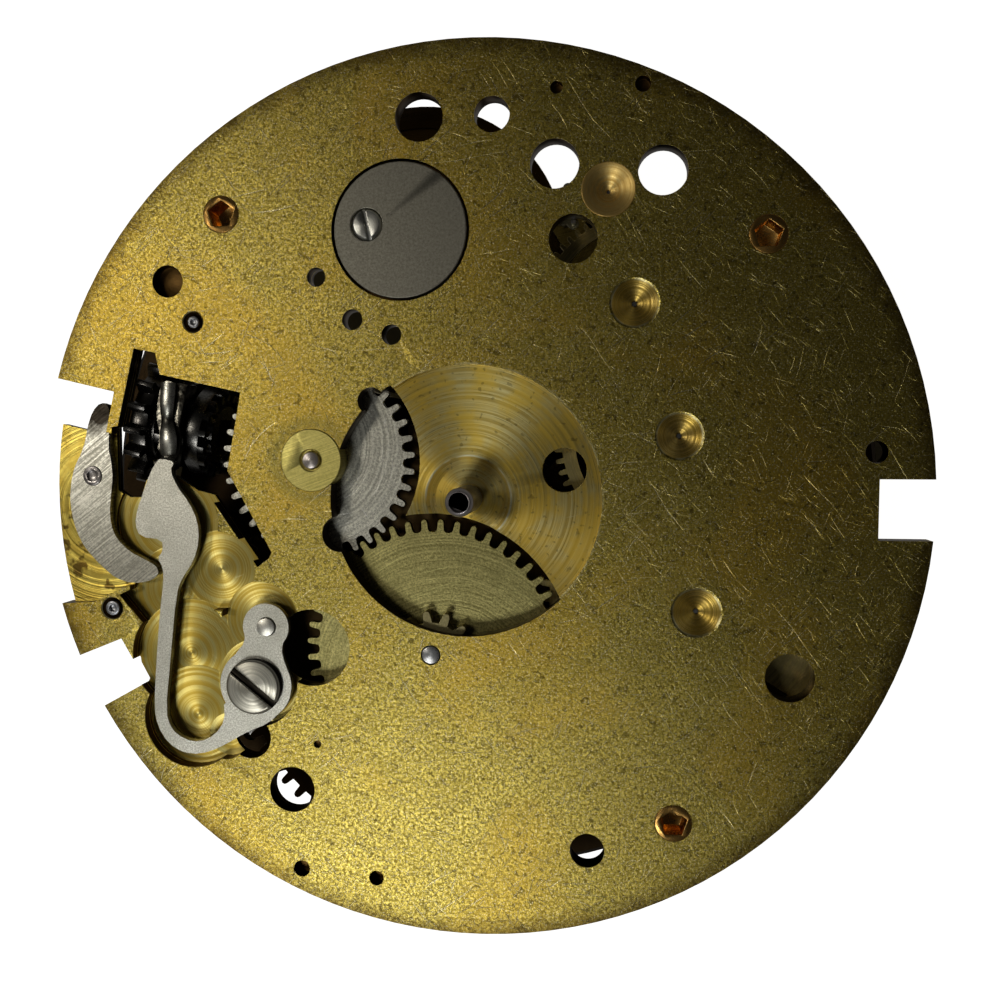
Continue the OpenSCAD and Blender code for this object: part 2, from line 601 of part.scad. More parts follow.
// ---------- balance cock side ----------
foot_at = [1.6, 2.5];
stud_at = pol(G, 2.55, 60);
module balance_cock() color(brass) turned() difference() {
  union() {
    bar(G, 1.55, foot_at, 1.1, -5.5, -4.9);
    bar(G, 1.3, stud_at, 0.55, -5.5, -4.95);
    disc(foot_at, 1.1, -4.91, z_out);
  }
  disc(G, 0.13, -7, 0);
  disc(foot_at, 0.42, -7, 0);
  disc(foot_at, 0.82, -6, -5.2);
  disc(stud_at, 0.27, -7, 0);
  disc([2.35, 1.9], 0.2, -5, z_out + 1);
}
module cock_screw() color(steel) turned()
  at(foot_at, -5.52) screw(0.8, 0.32, 0.4, 1.5, 0.16, -1, 35);
module hairspring_stud() color(steel) turned() disc(stud_at, 0.26, -5.6, -4.45);
reg_a = 150;
module regulator() color(steel) turned() difference() {
  union() {
    disc(G, 1.35, -5.75, -5.52);
    bar(G, 0.5, pol(G, 2.5, reg_a), 0.3, -5.75, -5.52);
    bar(G, 0.5, pol(G, 3.6, reg_a + 152), 0.1, -5.75, -5.52);
    disc(pol(G, 2.29, reg_a), 0.06, -5.6, -4.4);
    disc(pol(G, 2.54, reg_a), 0.06, -5.6, -4.4);
  }
  disc(G, 1, -7, 0);
}
module upper_cap() color(dark) turned() difference() {
  disc(G, 0.97, -5.75, -5.52);
  disc(pol(G, 0.62, 30), 0.16, -7, 0);
  disc(pol(G, 0.62, 210), 0.16, -7, 0);
}
module upper_cap_screws() color(steel) turned() for (a = [30, 210])
  at(pol(G, 0.62, a), -5.9) screw(0.26, 0.14, 0.12, 0.35, 0.08, -1, a + 20);

// ---------- back plate and winding ----------
module back_plate() color(brass) turned() difference() {
  union() {
    disc(O, back_r, z_out, z_back - 0.14);
    at(O, z_back - 0.15) cylinder(r1 = back_r, r2 = back_r - 0.16, h = 0.15);
  }
  // opening for the balance, and the edge cut back above the escape wheel
  disc(G, 5.34, -9, 0);
  prism([[-2, 10.55], [5.2, 10.55], [5.45, 10.22], [9.2, 10.22], [9.2, 16], [-2, 16]], -9, 0);
  // notch in the edge behind the barrel
  disc([-7.4, -11.45], 0.85, -9, 0);
  prism([[-8.02, -10.87], [-9.6, -12.6], [-8.4, -13.8], [-6.8, -12.05]], -9, 0);
  // window of the winding pinion and pocket of the sliding pinion
  prism([st(11.3, -2.3), st(12.2, -2.3), st(12.2, 2.3), st(11.3, 2.3)], -9, 0);
  prism([st(8.2, -1.35), st(11.4, -1.35), st(11.4, 1.35), st(8.2, 1.35)], z_stem - 1.7, 0);
  for (p = pillar_at) { disc(p, 0.55, z_back - 0.32, 0); disc(p, 0.3, -9, 0); }
  disc(B, 0.63, -9, 0);
  for (p = [C, D, E, F]) disc(p, 0.61, -9, 0);
  disc([4.6, 7.3], 0.24, -9, 0);
  disc(foot_at, 0.41, -9, 0);
  // two small screw holes of the crown wheel core, click screw
  for (a = [90, 270]) disc(pol(K, 0.5, stem_dir + a), 0.15, -9, z_out + 0.45);
  disc(click_at, 0.3, -9, 0);
  disc(spring_at, 0.28, -9, 0);
}
module back_bushes() color(brass) turned()
  for (q = [[C, 0.2], [D, 0.17], [E, 0.14], [F, 0.12]]) difference() {
    disc(q[0], 0.6, z_out - 0.02, z_back + 0.01);
    at(q[0], z_out - 0.03) cylinder(r1 = 0.5, r2 = 0.2, h = 0.25);
    disc(q[0], q[1], -9, 0);
  }
module pillar_screws() color(steel) turned() for (i = [0 : 2])
  at(pillar_at[i], z_out - 0.44) screw(0.78, 0.43, 0.25, 1.5, 0.16, -1, 30 + i * 50);

module ratchet_wheel() color(steel) turned() difference() {
  at(B, z_rat - rat_h) gear(ratchet_teeth, m_rat, rat_h, ph_ratchet, 0.7, 1.2, 0.4);
  at(B, -6) rotate([0, 0, 20]) translate([-0.41, -0.41, 0]) cube([0.82, 0.82, 3]);
}
module ratchet_screw() color(steel) turned()
  at(B, z_rat - rat_h - 0.3) screw(1.1, 0.29, 0.22, 1.1, 0.18, -1, 70);
module crown_wheel() color(steel) turned() difference() {
  at(K, z_rat - rat_h) gear(crown_teeth, m_rat, rat_h, ph_crown, 0.85, 1.25, 0.36);
  disc(K, 1.02, -6, 0);
}
module crown_wheel_core() color(steel) turned() difference() {
  union() { disc(K, 0.97, z_rat - rat_h - 0.05, z_out); disc(K, 1.4, z_rat - rat_h - 0.25, z_rat - rat_h - 0.04); }
  for (a = [90, 270]) disc(pol(K, 0.5, stem_dir + a), 0.15, -9, 0);
}
module crown_core_screws() color(steel) turned() for (a = [90, 270])
  at(pol(K, 0.5, stem_dir + a), z_rat - rat_h - 0.4) screw(0.3, 0.14, 0.13, 0.95, 0.09, -1, a);

// click: its beak rides just clear of the ratchet teeth
click_at = [-8.9, -9.2];
spring_at = [-4.4, -12.5];
beak_at = pol(B, ratchet_teeth * m_rat / 2 + 0.7 * m_rat + 0.07, 214);
module click() color(steel) turned() difference() {
  union() {
    disc(click_at, 0.75, z_out - 0.42, z_out - 0.04);
    prism([pol(click_at, 0.72, 60), beak_at, beak_at + [-0.1, -0.45], pol(click_at, 0.72, -20)],
      z_out - 0.42, z_out - 0.12);
    prism([pol(click_at, 0.7, -60), click_at + [1.5, -0.75], click_at + [1.35, -1.15],
      pol(click_at, 0.72, -110)], z_out - 0.42, z_out - 0.12);
  }
  disc(click_at, 0.33, -9, 0);
}
module click_screw() color(steel) turned() {
  at(click_at, z_out - 0.72) screw(0.68, 0.28, 0.29, 0.95, 0.15, -1, 10);
}
module click_spring() color(steel) turned() difference() {
  union() {
    disc(spring_at, 0.62, z_out - 0.3, z_out);
    bar(spring_at + [-0.2, 0.1], 0.3, spring_at + [-1.5, 0.45], 0.12, z_out - 0.3, z_out - 0.02);
    bar(spring_at + [-1.5, 0.45], 0.12, click_at + [1.75, -1.15], 0.08, z_out - 0.3, z_out - 0.1);
  }
  disc(spring_at, 0.2, -9, z_out - 0.1);
}

main_plate();
pillars();
centre_post();
escape_bush();
setting_bush();
balance_cap();
cap_screw();
dial_pins();
return_lever_post();
return_lever_screw();
return_lever();
setting_lever();
setting_lever_screw();
winding_pinion();
sliding_pinion();
setting_wheel();
setting_arbor();
minute_wheel();
minute_pinion();
barrel_drum();
barrel_cover();
barrel_arbor();
mainspring();
second_wheel();
second_pinion();
third_wheel();
third_pinion();
fourth_wheel();
fourth_pinion();
escape_wheel();
escape_pinion();
pallet_fork();
pallet_arbor();
pallet_pins();
pallet_cock();
pallet_cock_screw();
balance_wheel();
balance_staff();
impulse_roller();
hairspring();
hairspring_collet();
hairspring_stud();
balance_cock();
cock_screw();
regulator();
upper_cap();
upper_cap_screws();
back_plate();
back_bushes();
pillar_screws();
ratchet_wheel();
ratchet_screw();
crown_wheel();
crown_wheel_core();
crown_core_screws();
click();
click_screw();
click_spring();
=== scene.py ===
import bpy
import bmesh
import json
import math
from mathutils import Vector, Matrix

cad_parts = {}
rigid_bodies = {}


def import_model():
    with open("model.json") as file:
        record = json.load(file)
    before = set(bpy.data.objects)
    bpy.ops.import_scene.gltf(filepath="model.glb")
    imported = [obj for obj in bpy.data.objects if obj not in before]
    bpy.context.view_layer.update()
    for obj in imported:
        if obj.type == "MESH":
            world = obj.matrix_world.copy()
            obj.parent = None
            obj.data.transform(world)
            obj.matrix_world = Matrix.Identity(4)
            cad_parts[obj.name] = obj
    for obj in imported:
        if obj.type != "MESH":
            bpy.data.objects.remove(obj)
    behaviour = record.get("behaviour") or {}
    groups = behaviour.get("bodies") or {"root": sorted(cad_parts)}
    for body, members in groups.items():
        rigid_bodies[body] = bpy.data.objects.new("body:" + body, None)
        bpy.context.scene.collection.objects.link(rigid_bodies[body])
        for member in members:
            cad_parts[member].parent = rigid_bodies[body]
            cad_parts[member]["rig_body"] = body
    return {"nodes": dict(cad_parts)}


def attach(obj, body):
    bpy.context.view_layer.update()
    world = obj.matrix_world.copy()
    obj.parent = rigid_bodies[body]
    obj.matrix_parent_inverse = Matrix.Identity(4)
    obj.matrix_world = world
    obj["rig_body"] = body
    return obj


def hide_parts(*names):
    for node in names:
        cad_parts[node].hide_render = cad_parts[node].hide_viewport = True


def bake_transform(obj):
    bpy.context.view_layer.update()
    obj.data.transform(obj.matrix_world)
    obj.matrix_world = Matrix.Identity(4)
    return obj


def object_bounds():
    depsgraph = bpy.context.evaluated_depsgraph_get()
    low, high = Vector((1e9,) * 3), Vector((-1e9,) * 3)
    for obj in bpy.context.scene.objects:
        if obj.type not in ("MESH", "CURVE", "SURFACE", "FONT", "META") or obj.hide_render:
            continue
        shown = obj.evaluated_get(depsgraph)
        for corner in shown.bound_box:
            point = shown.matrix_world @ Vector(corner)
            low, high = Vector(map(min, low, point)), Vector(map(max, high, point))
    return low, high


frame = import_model()
cad_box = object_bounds()
NODES = frame["nodes"]
scene = bpy.context.scene

# ---------------------------------------------------------------------------
# frames: places below are given in the drawing frame (millimetres, stem axis
# at 166.9 degrees) and turned into the row frame (metres)
# ---------------------------------------------------------------------------
TURN = math.radians(166.9)
CT, ST = math.cos(TURN), math.sin(TURN)


def row(x, y, z=0.0):
    return Vector((x * CT + y * ST, -x * ST + y * CT, z)) / 1000.0


def row_dir(x, y, z):
    return Vector((x * CT + y * ST, -x * ST + y * CT, z)).normalized()


O = (0.0, 0.0)
A = (-5.25, 1.25)      # setting wheel
B = (-1.25, -5.2)      # barrel, minute wheel
C = (7.4, -3.6)        # second wheel
D = (6.8, 2.05)        # third wheel
E = (5.35, 6.25)       # fourth wheel
F = (4.5, 9.8)         # escape wheel
P = (3.0, 9.55)        # pallets
G = (-2.2, 8.7)        # balance
K = (-8.2788, 1.9265)  # crown wheel
SCREW = (-7.3, -6.4)
POST = (-6.88, -4.38)
LEVER = (-12.95, 0.7)
CLICK = (-8.9, -9.2)
FOOT = (1.6, 2.5)

# ---------------------------------------------------------------------------
# camera
# ---------------------------------------------------------------------------
tau, phi, dist_mm = 0.1285918, 0.5195617, 30.75496
back = Vector((math.sin(tau) * math.cos(phi), math.sin(tau) * math.sin(phi), math.cos(tau)))
right = Vector((0, 1, 0)).cross(back).normalized()
up = back.cross(right)
cam_data = bpy.data.cameras.new("camera")
cam_data.sensor_width = 36.0
cam_data.lens = 34.027
cam_data.clip_start = 0.0005
cam_data.clip_end = 5.0
cam = bpy.data.objects.new("camera", cam_data)
scene.collection.objects.link(cam)
spot = Vector((1.064830, -0.02671938, 0.0)) + back * dist_mm
m3 = Matrix((row_dir(*right), row_dir(*up), row_dir(*back))).transposed()
cam.matrix_world = Matrix.Translation(row(*spot)) @ m3.to_4x4()
scene.camera = cam


# ---------------------------------------------------------------------------
# node helpers
# ---------------------------------------------------------------------------
class Mat:
    """Builds one node material. All positions in it are drawing-frame millimetres."""

    def __init__(self, name):
        self.m = bpy.data.materials.new(name)
        self.m.use_nodes = True
        self.t = self.m.node_tree
        self.t.nodes.clear()
        self.out = self.new("ShaderNodeOutputMaterial")
        self.b = self.new("ShaderNodeBsdfPrincipled")
        self.t.links.new(self.b.outputs[0], self.out.inputs[0])
        tc = self.new("ShaderNodeTexCoord")
        mp = self.new("ShaderNodeMapping")
        mp.inputs["Rotation"].default_value = (0, 0, TURN)
        mp.inputs["Scale"].default_value = (1000, 1000, 1000)
        self.t.links.new(tc.outputs["Object"], mp.inputs["Vector"])
        self.p = mp.outputs[0]
        s = self.new("ShaderNodeSeparateXYZ")
        self.t.links.new(self.p, s.inputs[0])
        self.x, self.y, self.z = s.outputs

    def new(self, kind, **props):
        n = self.t.nodes.new(kind)
        for k, v in props.items():
            setattr(n, k, v)
        return n

    def put(self, sock, value):
        if isinstance(value, bpy.types.NodeSocket):
            self.t.links.new(value, sock)
        elif value is not None:
            if hasattr(sock.default_value, "__len__") and not hasattr(value, "__len__"):
                value = [value] * len(sock.default_value)
            if hasattr(value, "__len__") and len(sock.default_value) == 4 and len(value) == 3:
                value = (*value, 1)
            sock.default_value = value

    def math(self, op, a, b=None, c=None, clamp=False):
        n = self.new("ShaderNodeMath", operation=op, use_clamp=clamp)
        for s, v in zip(n.inputs, (a, b, c)):
            self.put(s, v)
        return n.outputs[0]

    def add(self, a, b):
        return self.math("ADD", a, b)

    def sub(self, a, b):
        return self.math("SUBTRACT", a, b)

    def mul(self, a, b):
        return self.math("MULTIPLY", a, b)

    def vec(self, op, a, b=None, scale=None):
        n = self.new("ShaderNodeVectorMath", operation=op)
        self.put(n.inputs[0], a)
        if b is not None:
            self.put(n.inputs[1], b)
        if scale is not None:
            self.put(n.inputs["Scale"], scale)
        return n.outputs["Value"] if op in ("LENGTH", "DISTANCE", "DOT_PRODUCT") else n.outputs["Vector"]

    def xyz(self, x, y, z=0.0):
        n = self.new("ShaderNodeCombineXYZ")
        for s, v in zip(n.inputs, (x, y, z)):
            self.put(s, v)
        return n.outputs[0]

    def noise(self, scale, detail=2.0, rough=0.5, vec=None, dist=0.0, dims="3D", w=None):
        n = self.new("ShaderNodeTexNoise", noise_dimensions=dims)
        if dims != "1D":
            self.put(n.inputs["Vector"], vec if vec is not None else self.p)
        if w is not None:
            self.put(n.inputs["W"], w)
        self.put(n.inputs["Scale"], scale)
        self.put(n.inputs["Detail"], detail)
        self.put(n.inputs["Roughness"], rough)
        self.put(n.inputs["Distortion"], dist)
        return n.outputs[0]

    def cells(self, scale, vec=None, feature="F1", rand=1.0):
        n = self.new("ShaderNodeTexVoronoi", feature=feature)
        self.put(n.inputs["Vector"], vec if vec is not None else self.p)
        self.put(n.inputs["Scale"], scale)
        self.put(n.inputs["Randomness"], rand)
        return n.outputs["Distance"]

    def span(self, v, a, b, c=0.0, d=1.0, kind="LINEAR"):
        n = self.new("ShaderNodeMapRange", interpolation_type=kind, clamp=True)
        for s, x in zip(n.inputs, (v, a, b, c, d)):
            self.put(s, x)
        return n.outputs[0]

    def mix(self, f, a, b, blend="MIX"):
        n = self.new("ShaderNodeMix", data_type="RGBA", blend_type=blend, clamp_factor=True)
        self.put(n.inputs[0], f)
        self.put(n.inputs[6], a)
        self.put(n.inputs[7], b)
        return n.outputs[2]

    def fmix(self, f, a, b):
        n = self.new("ShaderNodeMix", data_type="FLOAT", clamp_factor=True)
        self.put(n.inputs[0], f)
        self.put(n.inputs[2], a)
        self.put(n.inputs[3], b)
        return n.outputs[0]

    def vmix(self, f, a, b):
        n = self.new("ShaderNodeMix", data_type="VECTOR", clamp_factor=True)
        self.put(n.inputs[0], f)
        self.put(n.inputs[4], a)
        self.put(n.inputs[5], b)
        return n.outputs[1]

    def dist_to(self, c):
        """Distance in the plane from the axis c, in mm."""
        return self.math("SQRT", self.add(
            self.math("POWER", self.sub(self.x, c[0]), 2.0),
            self.math("POWER", self.sub(self.y, c[1]), 2.0)))

    def disc(self, c, r, soft=0.01):
        return self.span(self.dist_to(c), r - soft, r + soft, 1.0, 0.0)

    def band(self, v, lo, hi, soft=0.008):
        return self.mul(self.span(v, lo - soft, lo + soft), self.span(v, hi - soft, hi + soft, 1.0, 0.0))

    def streaks(self, angle, along, across, lo, hi, seed=0.0, detail=1.0, warp=0.0):
        """Fine lines in one direction: 0 away from a line, 1 on it."""
        a = math.radians(angle)
        u = self.add(self.mul(self.x, math.cos(a)), self.mul(self.y, math.sin(a)))
        v = self.sub(self.mul(self.y, math.cos(a)), self.mul(self.x, math.sin(a)))
        if warp:
            v = self.add(v, self.mul(self.noise(0.4, 1.0, vec=self.xyz(self.x, self.y, seed + 7.0)), warp))
        q = self.xyz(self.mul(u, along), self.mul(v, across), seed)
        return self.span(self.noise(1.0, detail, 0.5, vec=q), lo, hi)

    def rings(self, c, pitch, seed=0.0, detail=3.0, warp=0.0):
        """Turning marks round the axis c: a value near 0.5 that varies with the radius."""
        r = self.dist_to(c)
        if warp:
            r = self.add(r, self.mul(self.noise(0.8, 1.0), warp))
        return self.noise(1.0 / pitch, detail, 0.65, dims="1D", w=self.add(r, seed))

    def tangent_round(self, c):
        """Direction across the turning marks round the axis c, in world space."""
        d = self.xyz(self.sub(self.x, c[0]), self.sub(self.y, c[1]), 0.0)
        return self.to_world(d)

    def to_world(self, d):
        """A direction of the drawing frame, turned into the object's own frame and then the world's."""
        n = self.new("ShaderNodeVectorRotate", rotation_type="Z_AXIS")
        self.put(n.inputs["Vector"], d)
        self.put(n.inputs["Angle"], -TURN)
        w = self.new("ShaderNodeVectorTransform", vector_type="VECTOR", convert_from="OBJECT", convert_to="WORLD")
        self.t.links.new(n.outputs[0], w.inputs[0])
        return self.vec("NORMALIZE", w.outputs[0])

    def bump(self, height, strength=0.4, dist=0.02, normal=None):
        """dist in millimetres"""
        n = self.new("ShaderNodeBump")
        self.put(n.inputs["Height"], height)
        self.put(n.inputs["Strength"], strength)
        self.put(n.inputs["Distance"], dist / 1000.0)
        if normal is not None:
            self.put(n.inputs["Normal"], normal)
        return n.outputs[0]

    def done(self, color, rough, normal=None, metallic=1.0, aniso=0.0, tangent=None, spec=None):
        b = self.b
        self.put(b.inputs["Base Color"], color)
        self.put(b.inputs["Roughness"], rough)
        self.put(b.inputs["Metallic"], metallic)
        if normal is not None:
            self.put(b.inputs["Normal"], normal)
        if aniso:
            b.inputs["Anisotropic"].default_value = aniso
        if tangent is not None:
            self.put(b.inputs["Tangent"], tangent)
        if spec is not None:
            b.inputs["Specular IOR Level"].default_value = spec
        return self.m


# ---------------------------------------------------------------------------
# materials
# ---------------------------------------------------------------------------
def grain(m, scale, vec=None):
    """Coarse and fine grain, near 0.5."""
    return m.add(m.mul(m.noise(scale, 2.0, 0.6, vec=vec), 0.6), m.mul(m.noise(scale * 2.7, 2.0, 0.6, vec=vec), 0.4))


PITS = [(-9.75, -5.45, 1.9), (-7.1, -4.2, 1.35), (-7.3, -6.35, 1.48), (-9.55, -7.6, 1.72),
        (-10.2, -3.2, 1.5), (-10.4, -0.9, 1.9), (-8.6, -2.5, 1.35), (-8.4, -8.25, 0.75)]


def plate_material():
    """Main plate: grained old brass, turned recess in the middle, milled lever recess, turned sinks."""
    m = Mat("plate_brass")
    r = m.dist_to(O)
    face = m.span(m.z, -0.03, -0.012)
    hour = m.mul(m.span(r, 4.36, 4.38, 1.0, 0.0), m.band(m.z, -0.5, -0.06))
    pit = m.mul(m.band(m.z, -0.515, -0.485), m.span(m.x, -5.2, -5.0, 1.0, 0.0))
    ledge = m.mul(m.band(m.z, -0.36, -0.34), m.span(m.x, -10.2, -10.0, 1.0, 0.0))
    # grained face
    g = grain(m, 9.5)
    fine = m.noise(30.0, 2.0, 0.6)
    mott = m.noise(0.7, 4.0, 0.6)
    cloud = m.noise(0.16, 3.0, 0.55, dist=0.6)
    base = m.mix(m.span(g, 0.435, 0.575), (0.33, 0.245, 0.036), (0.98, 0.78, 0.165))
    brush = m.streaks(46, 0.22, 6.5, 0.38, 0.62, 50.0, 3.0, 0.5)
    brush = m.add(m.mul(brush, 0.6), m.mul(m.streaks(-28, 0.25, 8.0, 0.38, 0.62, 57.0, 3.0, 0.5), 0.4))
    base = m.mix(m.span(brush, 0.15, 0.55, 0.30, 0.0), base, (0.34, 0.25, 0.045))
    base = m.mix(m.span(mott, 0.42, 0.66, 0.0, 0.38), base, (0.46, 0.35, 0.060))
    base = m.mix(m.span(cloud, 0.46, 0.62, 0.0, 0.46), base, (0.80, 0.50, 0.050))
    # darker flecks and pits
    spots = m.mul(m.span(m.noise(5.5, 1.0, 0.5, vec=m.vec("ADD", m.p, (31.0, 17.0, 5.0))), 0.62, 0.70), 0.6)
    base = m.mix(spots, base, (0.10, 0.075, 0.02))
    # scratches: bright hair lines in several directions
    lines = None
    for ang, al, ac, lo, hi, sd in ((8, 0.30, 15, 0.685, 0.745, 1.0), (38, 0.4, 17, 0.675, 0.735, 4.0), (-52, 0.35, 16, 0.685, 0.745, 8.0),
                                    (72, 0.45, 14, 0.695, 0.755, 12.0), (-20, 0.55, 19, 0.685, 0.745, 15.0), (118, 0.5, 20, 0.695, 0.755, 21.0),
                                    (52, 1.1, 26, 0.665, 0.735, 27.0), (-38, 1.2, 28, 0.675, 0.745, 33.0)):
        s = m.streaks(ang, al, ac, lo, hi, sd, 2.0, 0.6)
        lines = s if lines is None else m.math("MAXIMUM", lines, s)
    lines = m.mul(lines, face)
    base = m.mix(m.mul(lines, 0.85), base, (1.0, 0.88, 0.50))
    # bright specks where the grain is polished by wear
    speck = m.span(m.noise(17.0, 1.0, 0.5, vec=m.vec("ADD", m.p, (3.0, 41.0, 2.0))), 0.60, 0.68)
    base = m.mix(m.mul(speck, 0.85), base, (1.0, 0.90, 0.52))
    # painted highlight: a bright broken line along the edge of the hour recess
    lip = m.mul(m.band(r, 4.37, 4.43, 0.02), m.span(m.noise(1.7, 3.0, 0.6), 0.40, 0.56))
    base = m.mix(m.mul(lip, 0.75), base, (1.0, 0.88, 0.42))
    # painted shade: a dark brown band round the plate's rim and its chamfer
    painted_rim_shade = m.span(m.add(r, m.mul(m.noise(1.6, 3.0, 0.6), 0.9)), 14.45, 15.2)
    base = m.mix(m.mul(painted_rim_shade, 0.8), base, (0.085, 0.052, 0.016))
    # greenish ring round the flat bush
    ring_a = m.mul(m.band(m.dist_to(A), 1.03, 1.45, 0.2), 0.45)
    base = m.mix(ring_a, base, (0.25, 0.24, 0.075))
    rough_face = m.add(m.span(g, 0.42, 0.58, 0.37, 0.285), m.add(m.mul(lines, -0.06), m.mul(speck, 0.05)))
    h_face = m.add(m.mul(g, 1.0), m.add(m.mul(fine, 0.4), m.mul(lines, -0.30)))

    # turned marks: rings of the hour recess and the milled circles
    def ring_set(c, pitch, seed):
        return m.rings(c, pitch, seed, 3.0)
    rg = ring_set(O, 0.13, 3.0)
    tan = m.tangent_round(O)
    for i, (cx, cy, pr) in enumerate([PITS[5], PITS[4], PITS[6], PITS[0], PITS[1], PITS[3], PITS[7], PITS[2]]):
        k = m.mul(m.disc((cx, cy), pr, 0.02), pit)
        rg = m.fmix(k, rg, ring_set((cx, cy), 0.17, 11.0 + 3 * i))
        tan = m.vmix(k, tan, m.tangent_round((cx, cy)))
    for c in (C, D, E):
        k = m.disc(c, 0.84, 0.02)
        rg = m.fmix(k, rg, ring_set(c, 0.07, 40.0))
        tan = m.vmix(k, tan, m.tangent_round(c))
    fine_rg = m.rings(O, 0.042, 71.0, 2.0, 0.03)
    turned_c = m.mix(m.span(rg, 0.40, 0.60), (0.70, 0.535, 0.15), (1.0, 0.86, 0.36))
    turned_c = m.mix(m.mul(m.span(fine_rg, 0.52, 0.66), m.span(m.noise(0.8, 3.0, 0.6), 0.40, 0.60)), turned_c, (0.34, 0.25, 0.06))
    turned_c = m.mix(m.mul(m.span(m.noise(0.7, 3.0, 0.6), 0.42, 0.58), 0.75), turned_c, (1.0, 0.70, 0.10))
    turned_c = m.mix(m.mul(pit, 0.7), turned_c, m.mix(m.span(rg, 0.44, 0.58), (0.78, 0.55, 0.085), (1.0, 0.86, 0.28)))
    # hair scratches across the turned marks, a painted highlight line on the edge of the inner dish and dark specks
    cuts = m.math("MAXIMUM", m.streaks(22, 0.9, 22, 0.70, 0.78, 81.0, 2.0, 0.8), m.streaks(-44, 1.0, 24, 0.71, 0.79, 87.0, 2.0, 0.8))
    turned_c = m.mix(m.mul(cuts, 0.8), turned_c, (1.0, 0.93, 0.55))
    dish = m.mul(m.band(r, 1.385, 1.445, 0.02), m.span(m.noise(1.1, 2.0), 0.36, 0.50))
    turned_c = m.mix(m.mul(dish, hour), turned_c, (1.0, 0.95, 0.62))
    flecks = m.mul(m.span(m.noise(6.0, 1.0, 0.5, vec=m.vec("ADD", m.p, (14.0, 2.0, 7.0))), 0.66, 0.73), hour)
    turned_c = m.mix(m.mul(flecks, 0.45), turned_c, (0.16, 0.11, 0.03))
    # the sinks over the train are browner; a dot of painted shade stands for the dark pivot hole in the middle
    sink = m.math("MAXIMUM", m.disc(C, 0.84), m.math("MAXIMUM", m.disc(D, 0.80), m.disc(E, 0.82)))
    turned_c = m.mix(m.mul(sink, 0.6), turned_c, m.mix(m.span(rg, 0.42, 0.60), (0.30, 0.175, 0.025), (0.98, 0.66, 0.15)))
    dots = m.math("MAXIMUM", m.disc(C, 0.10, 0.03), m.math("MAXIMUM", m.disc(D, 0.10, 0.03), m.disc(E, 0.10, 0.03)))
    turned_c = m.mix(m.mul(dots, 0.85), turned_c, (0.035, 0.022, 0.010))
    # painted shade: walls of holes and recesses are coloured dark, the outer edge less so
    painted_shade_walls = m.mix(m.noise(3.0, 2.0), (0.035, 0.018, 0.006), (0.11, 0.062, 0.018))
    edge = m.span(r, 14.48, 14.56)
    painted_shade_walls = m.mix(edge, painted_shade_walls, m.mix(m.noise(1.2, 3.0, 0.6), (0.20, 0.145, 0.035), (0.50, 0.38, 0.10)))
    under = m.span(m.z, -0.695, -0.68, 1.0, 0.0)
    painted_shade_walls = m.mix(m.mul(under, 0.8), painted_shade_walls, (0.30, 0.23, 0.07))
    turned = m.math("MAXIMUM", m.math("MAXIMUM", hour, pit), m.math("MAXIMUM", m.math(
        "MAXIMUM", m.disc(C, 0.84), m.disc(D, 0.80)), m.disc(E, 0.82)))
    turned = m.mul(turned, m.sub(1.0, face))
    col = m.mix(turned, painted_shade_walls, turned_c)
    led_l = m.span(m.rings((-12.6, -0.4), 0.16, 61.0, 2.0, 0.06), 0.40, 0.60)
    led_c = m.mix(m.span(m.noise(2.2, 4.0, 0.65), 0.42, 0.60), (1.0, 0.80, 0.17), (0.80, 0.58, 0.10))
    led_c = m.mix(m.mul(led_l, 0.45), led_c, (0.60, 0.44, 0.08))
    led_c = m.mix(m.mul(m.span(m.noise(1.3, 3.0, 0.6, vec=m.vec("ADD", m.p, (9.0, 3.0, 0.0))), 0.585, 0.64), 0.85), led_c, (0.12, 0.06, 0.014))
    col = m.mix(ledge, col, led_c)
    col = m.mix(face, col, base)
    # painted highlight: the broken edges of the face are coloured bright in places
    painted_edge_highlight = m.mul(m.band(m.z, -0.034, -0.005, 0.003), m.span(m.noise(1.9, 3.0, 0.6, vec=m.vec("ADD", m.p, (5.0, 8.0, 1.0))), 0.40, 0.56))
    col = m.mix(m.mul(painted_edge_highlight, 0.8), col, (1.0, 0.90, 0.48))
    rough = m.fmix(turned, 0.34, m.span(rg, 0.3, 0.7, 0.46, 0.36))
    rough = m.fmix(ledge, rough, 0.33)
    rough = m.fmix(face, rough, rough_face)
    h = m.fmix(turned, m.mul(m.noise(6.0, 2.0), 0.4), m.add(m.mul(rg, 0.9), m.mul(cuts, -0.3)))
    h = m.fmix(ledge, h, m.mul(led_l, 0.9))
    h = m.fmix(face, h, h_face)
    n1 = m.bump(h, m.fmix(face, 0.5, 0.62), 0.020)
    aniso_n = m.done(col, rough, n1, aniso=0.0)
    b = m.b
    # a second, directional layer for turned places
    b2 = m.new("ShaderNodeBsdfPrincipled")
    m.put(b2.inputs["Base Color"], col)
    m.put(b2.inputs["Roughness"], m.span(rg, 0.4, 0.6, 0.50, 0.37))
    m.put(b2.inputs["Metallic"], 1.0)
    b2.inputs["Anisotropic"].default_value = 0.85
    m.put(b2.inputs["Tangent"], tan)
    m.put(b2.inputs["Normal"], m.bump(h, 0.3, 0.010))
    mixer = m.new("ShaderNodeMixShader")
    m.put(mixer.inputs[0], m.mul(turned, m.fmix(pit, 0.82, 0.72)))
    m.t.links.new(b.outputs[0], mixer.inputs[1])
    m.t.links.new(b2.outputs[0], mixer.inputs[2])
    m.t.links.new(mixer.outputs[0], m.out.inputs[0])
    return aniso_n


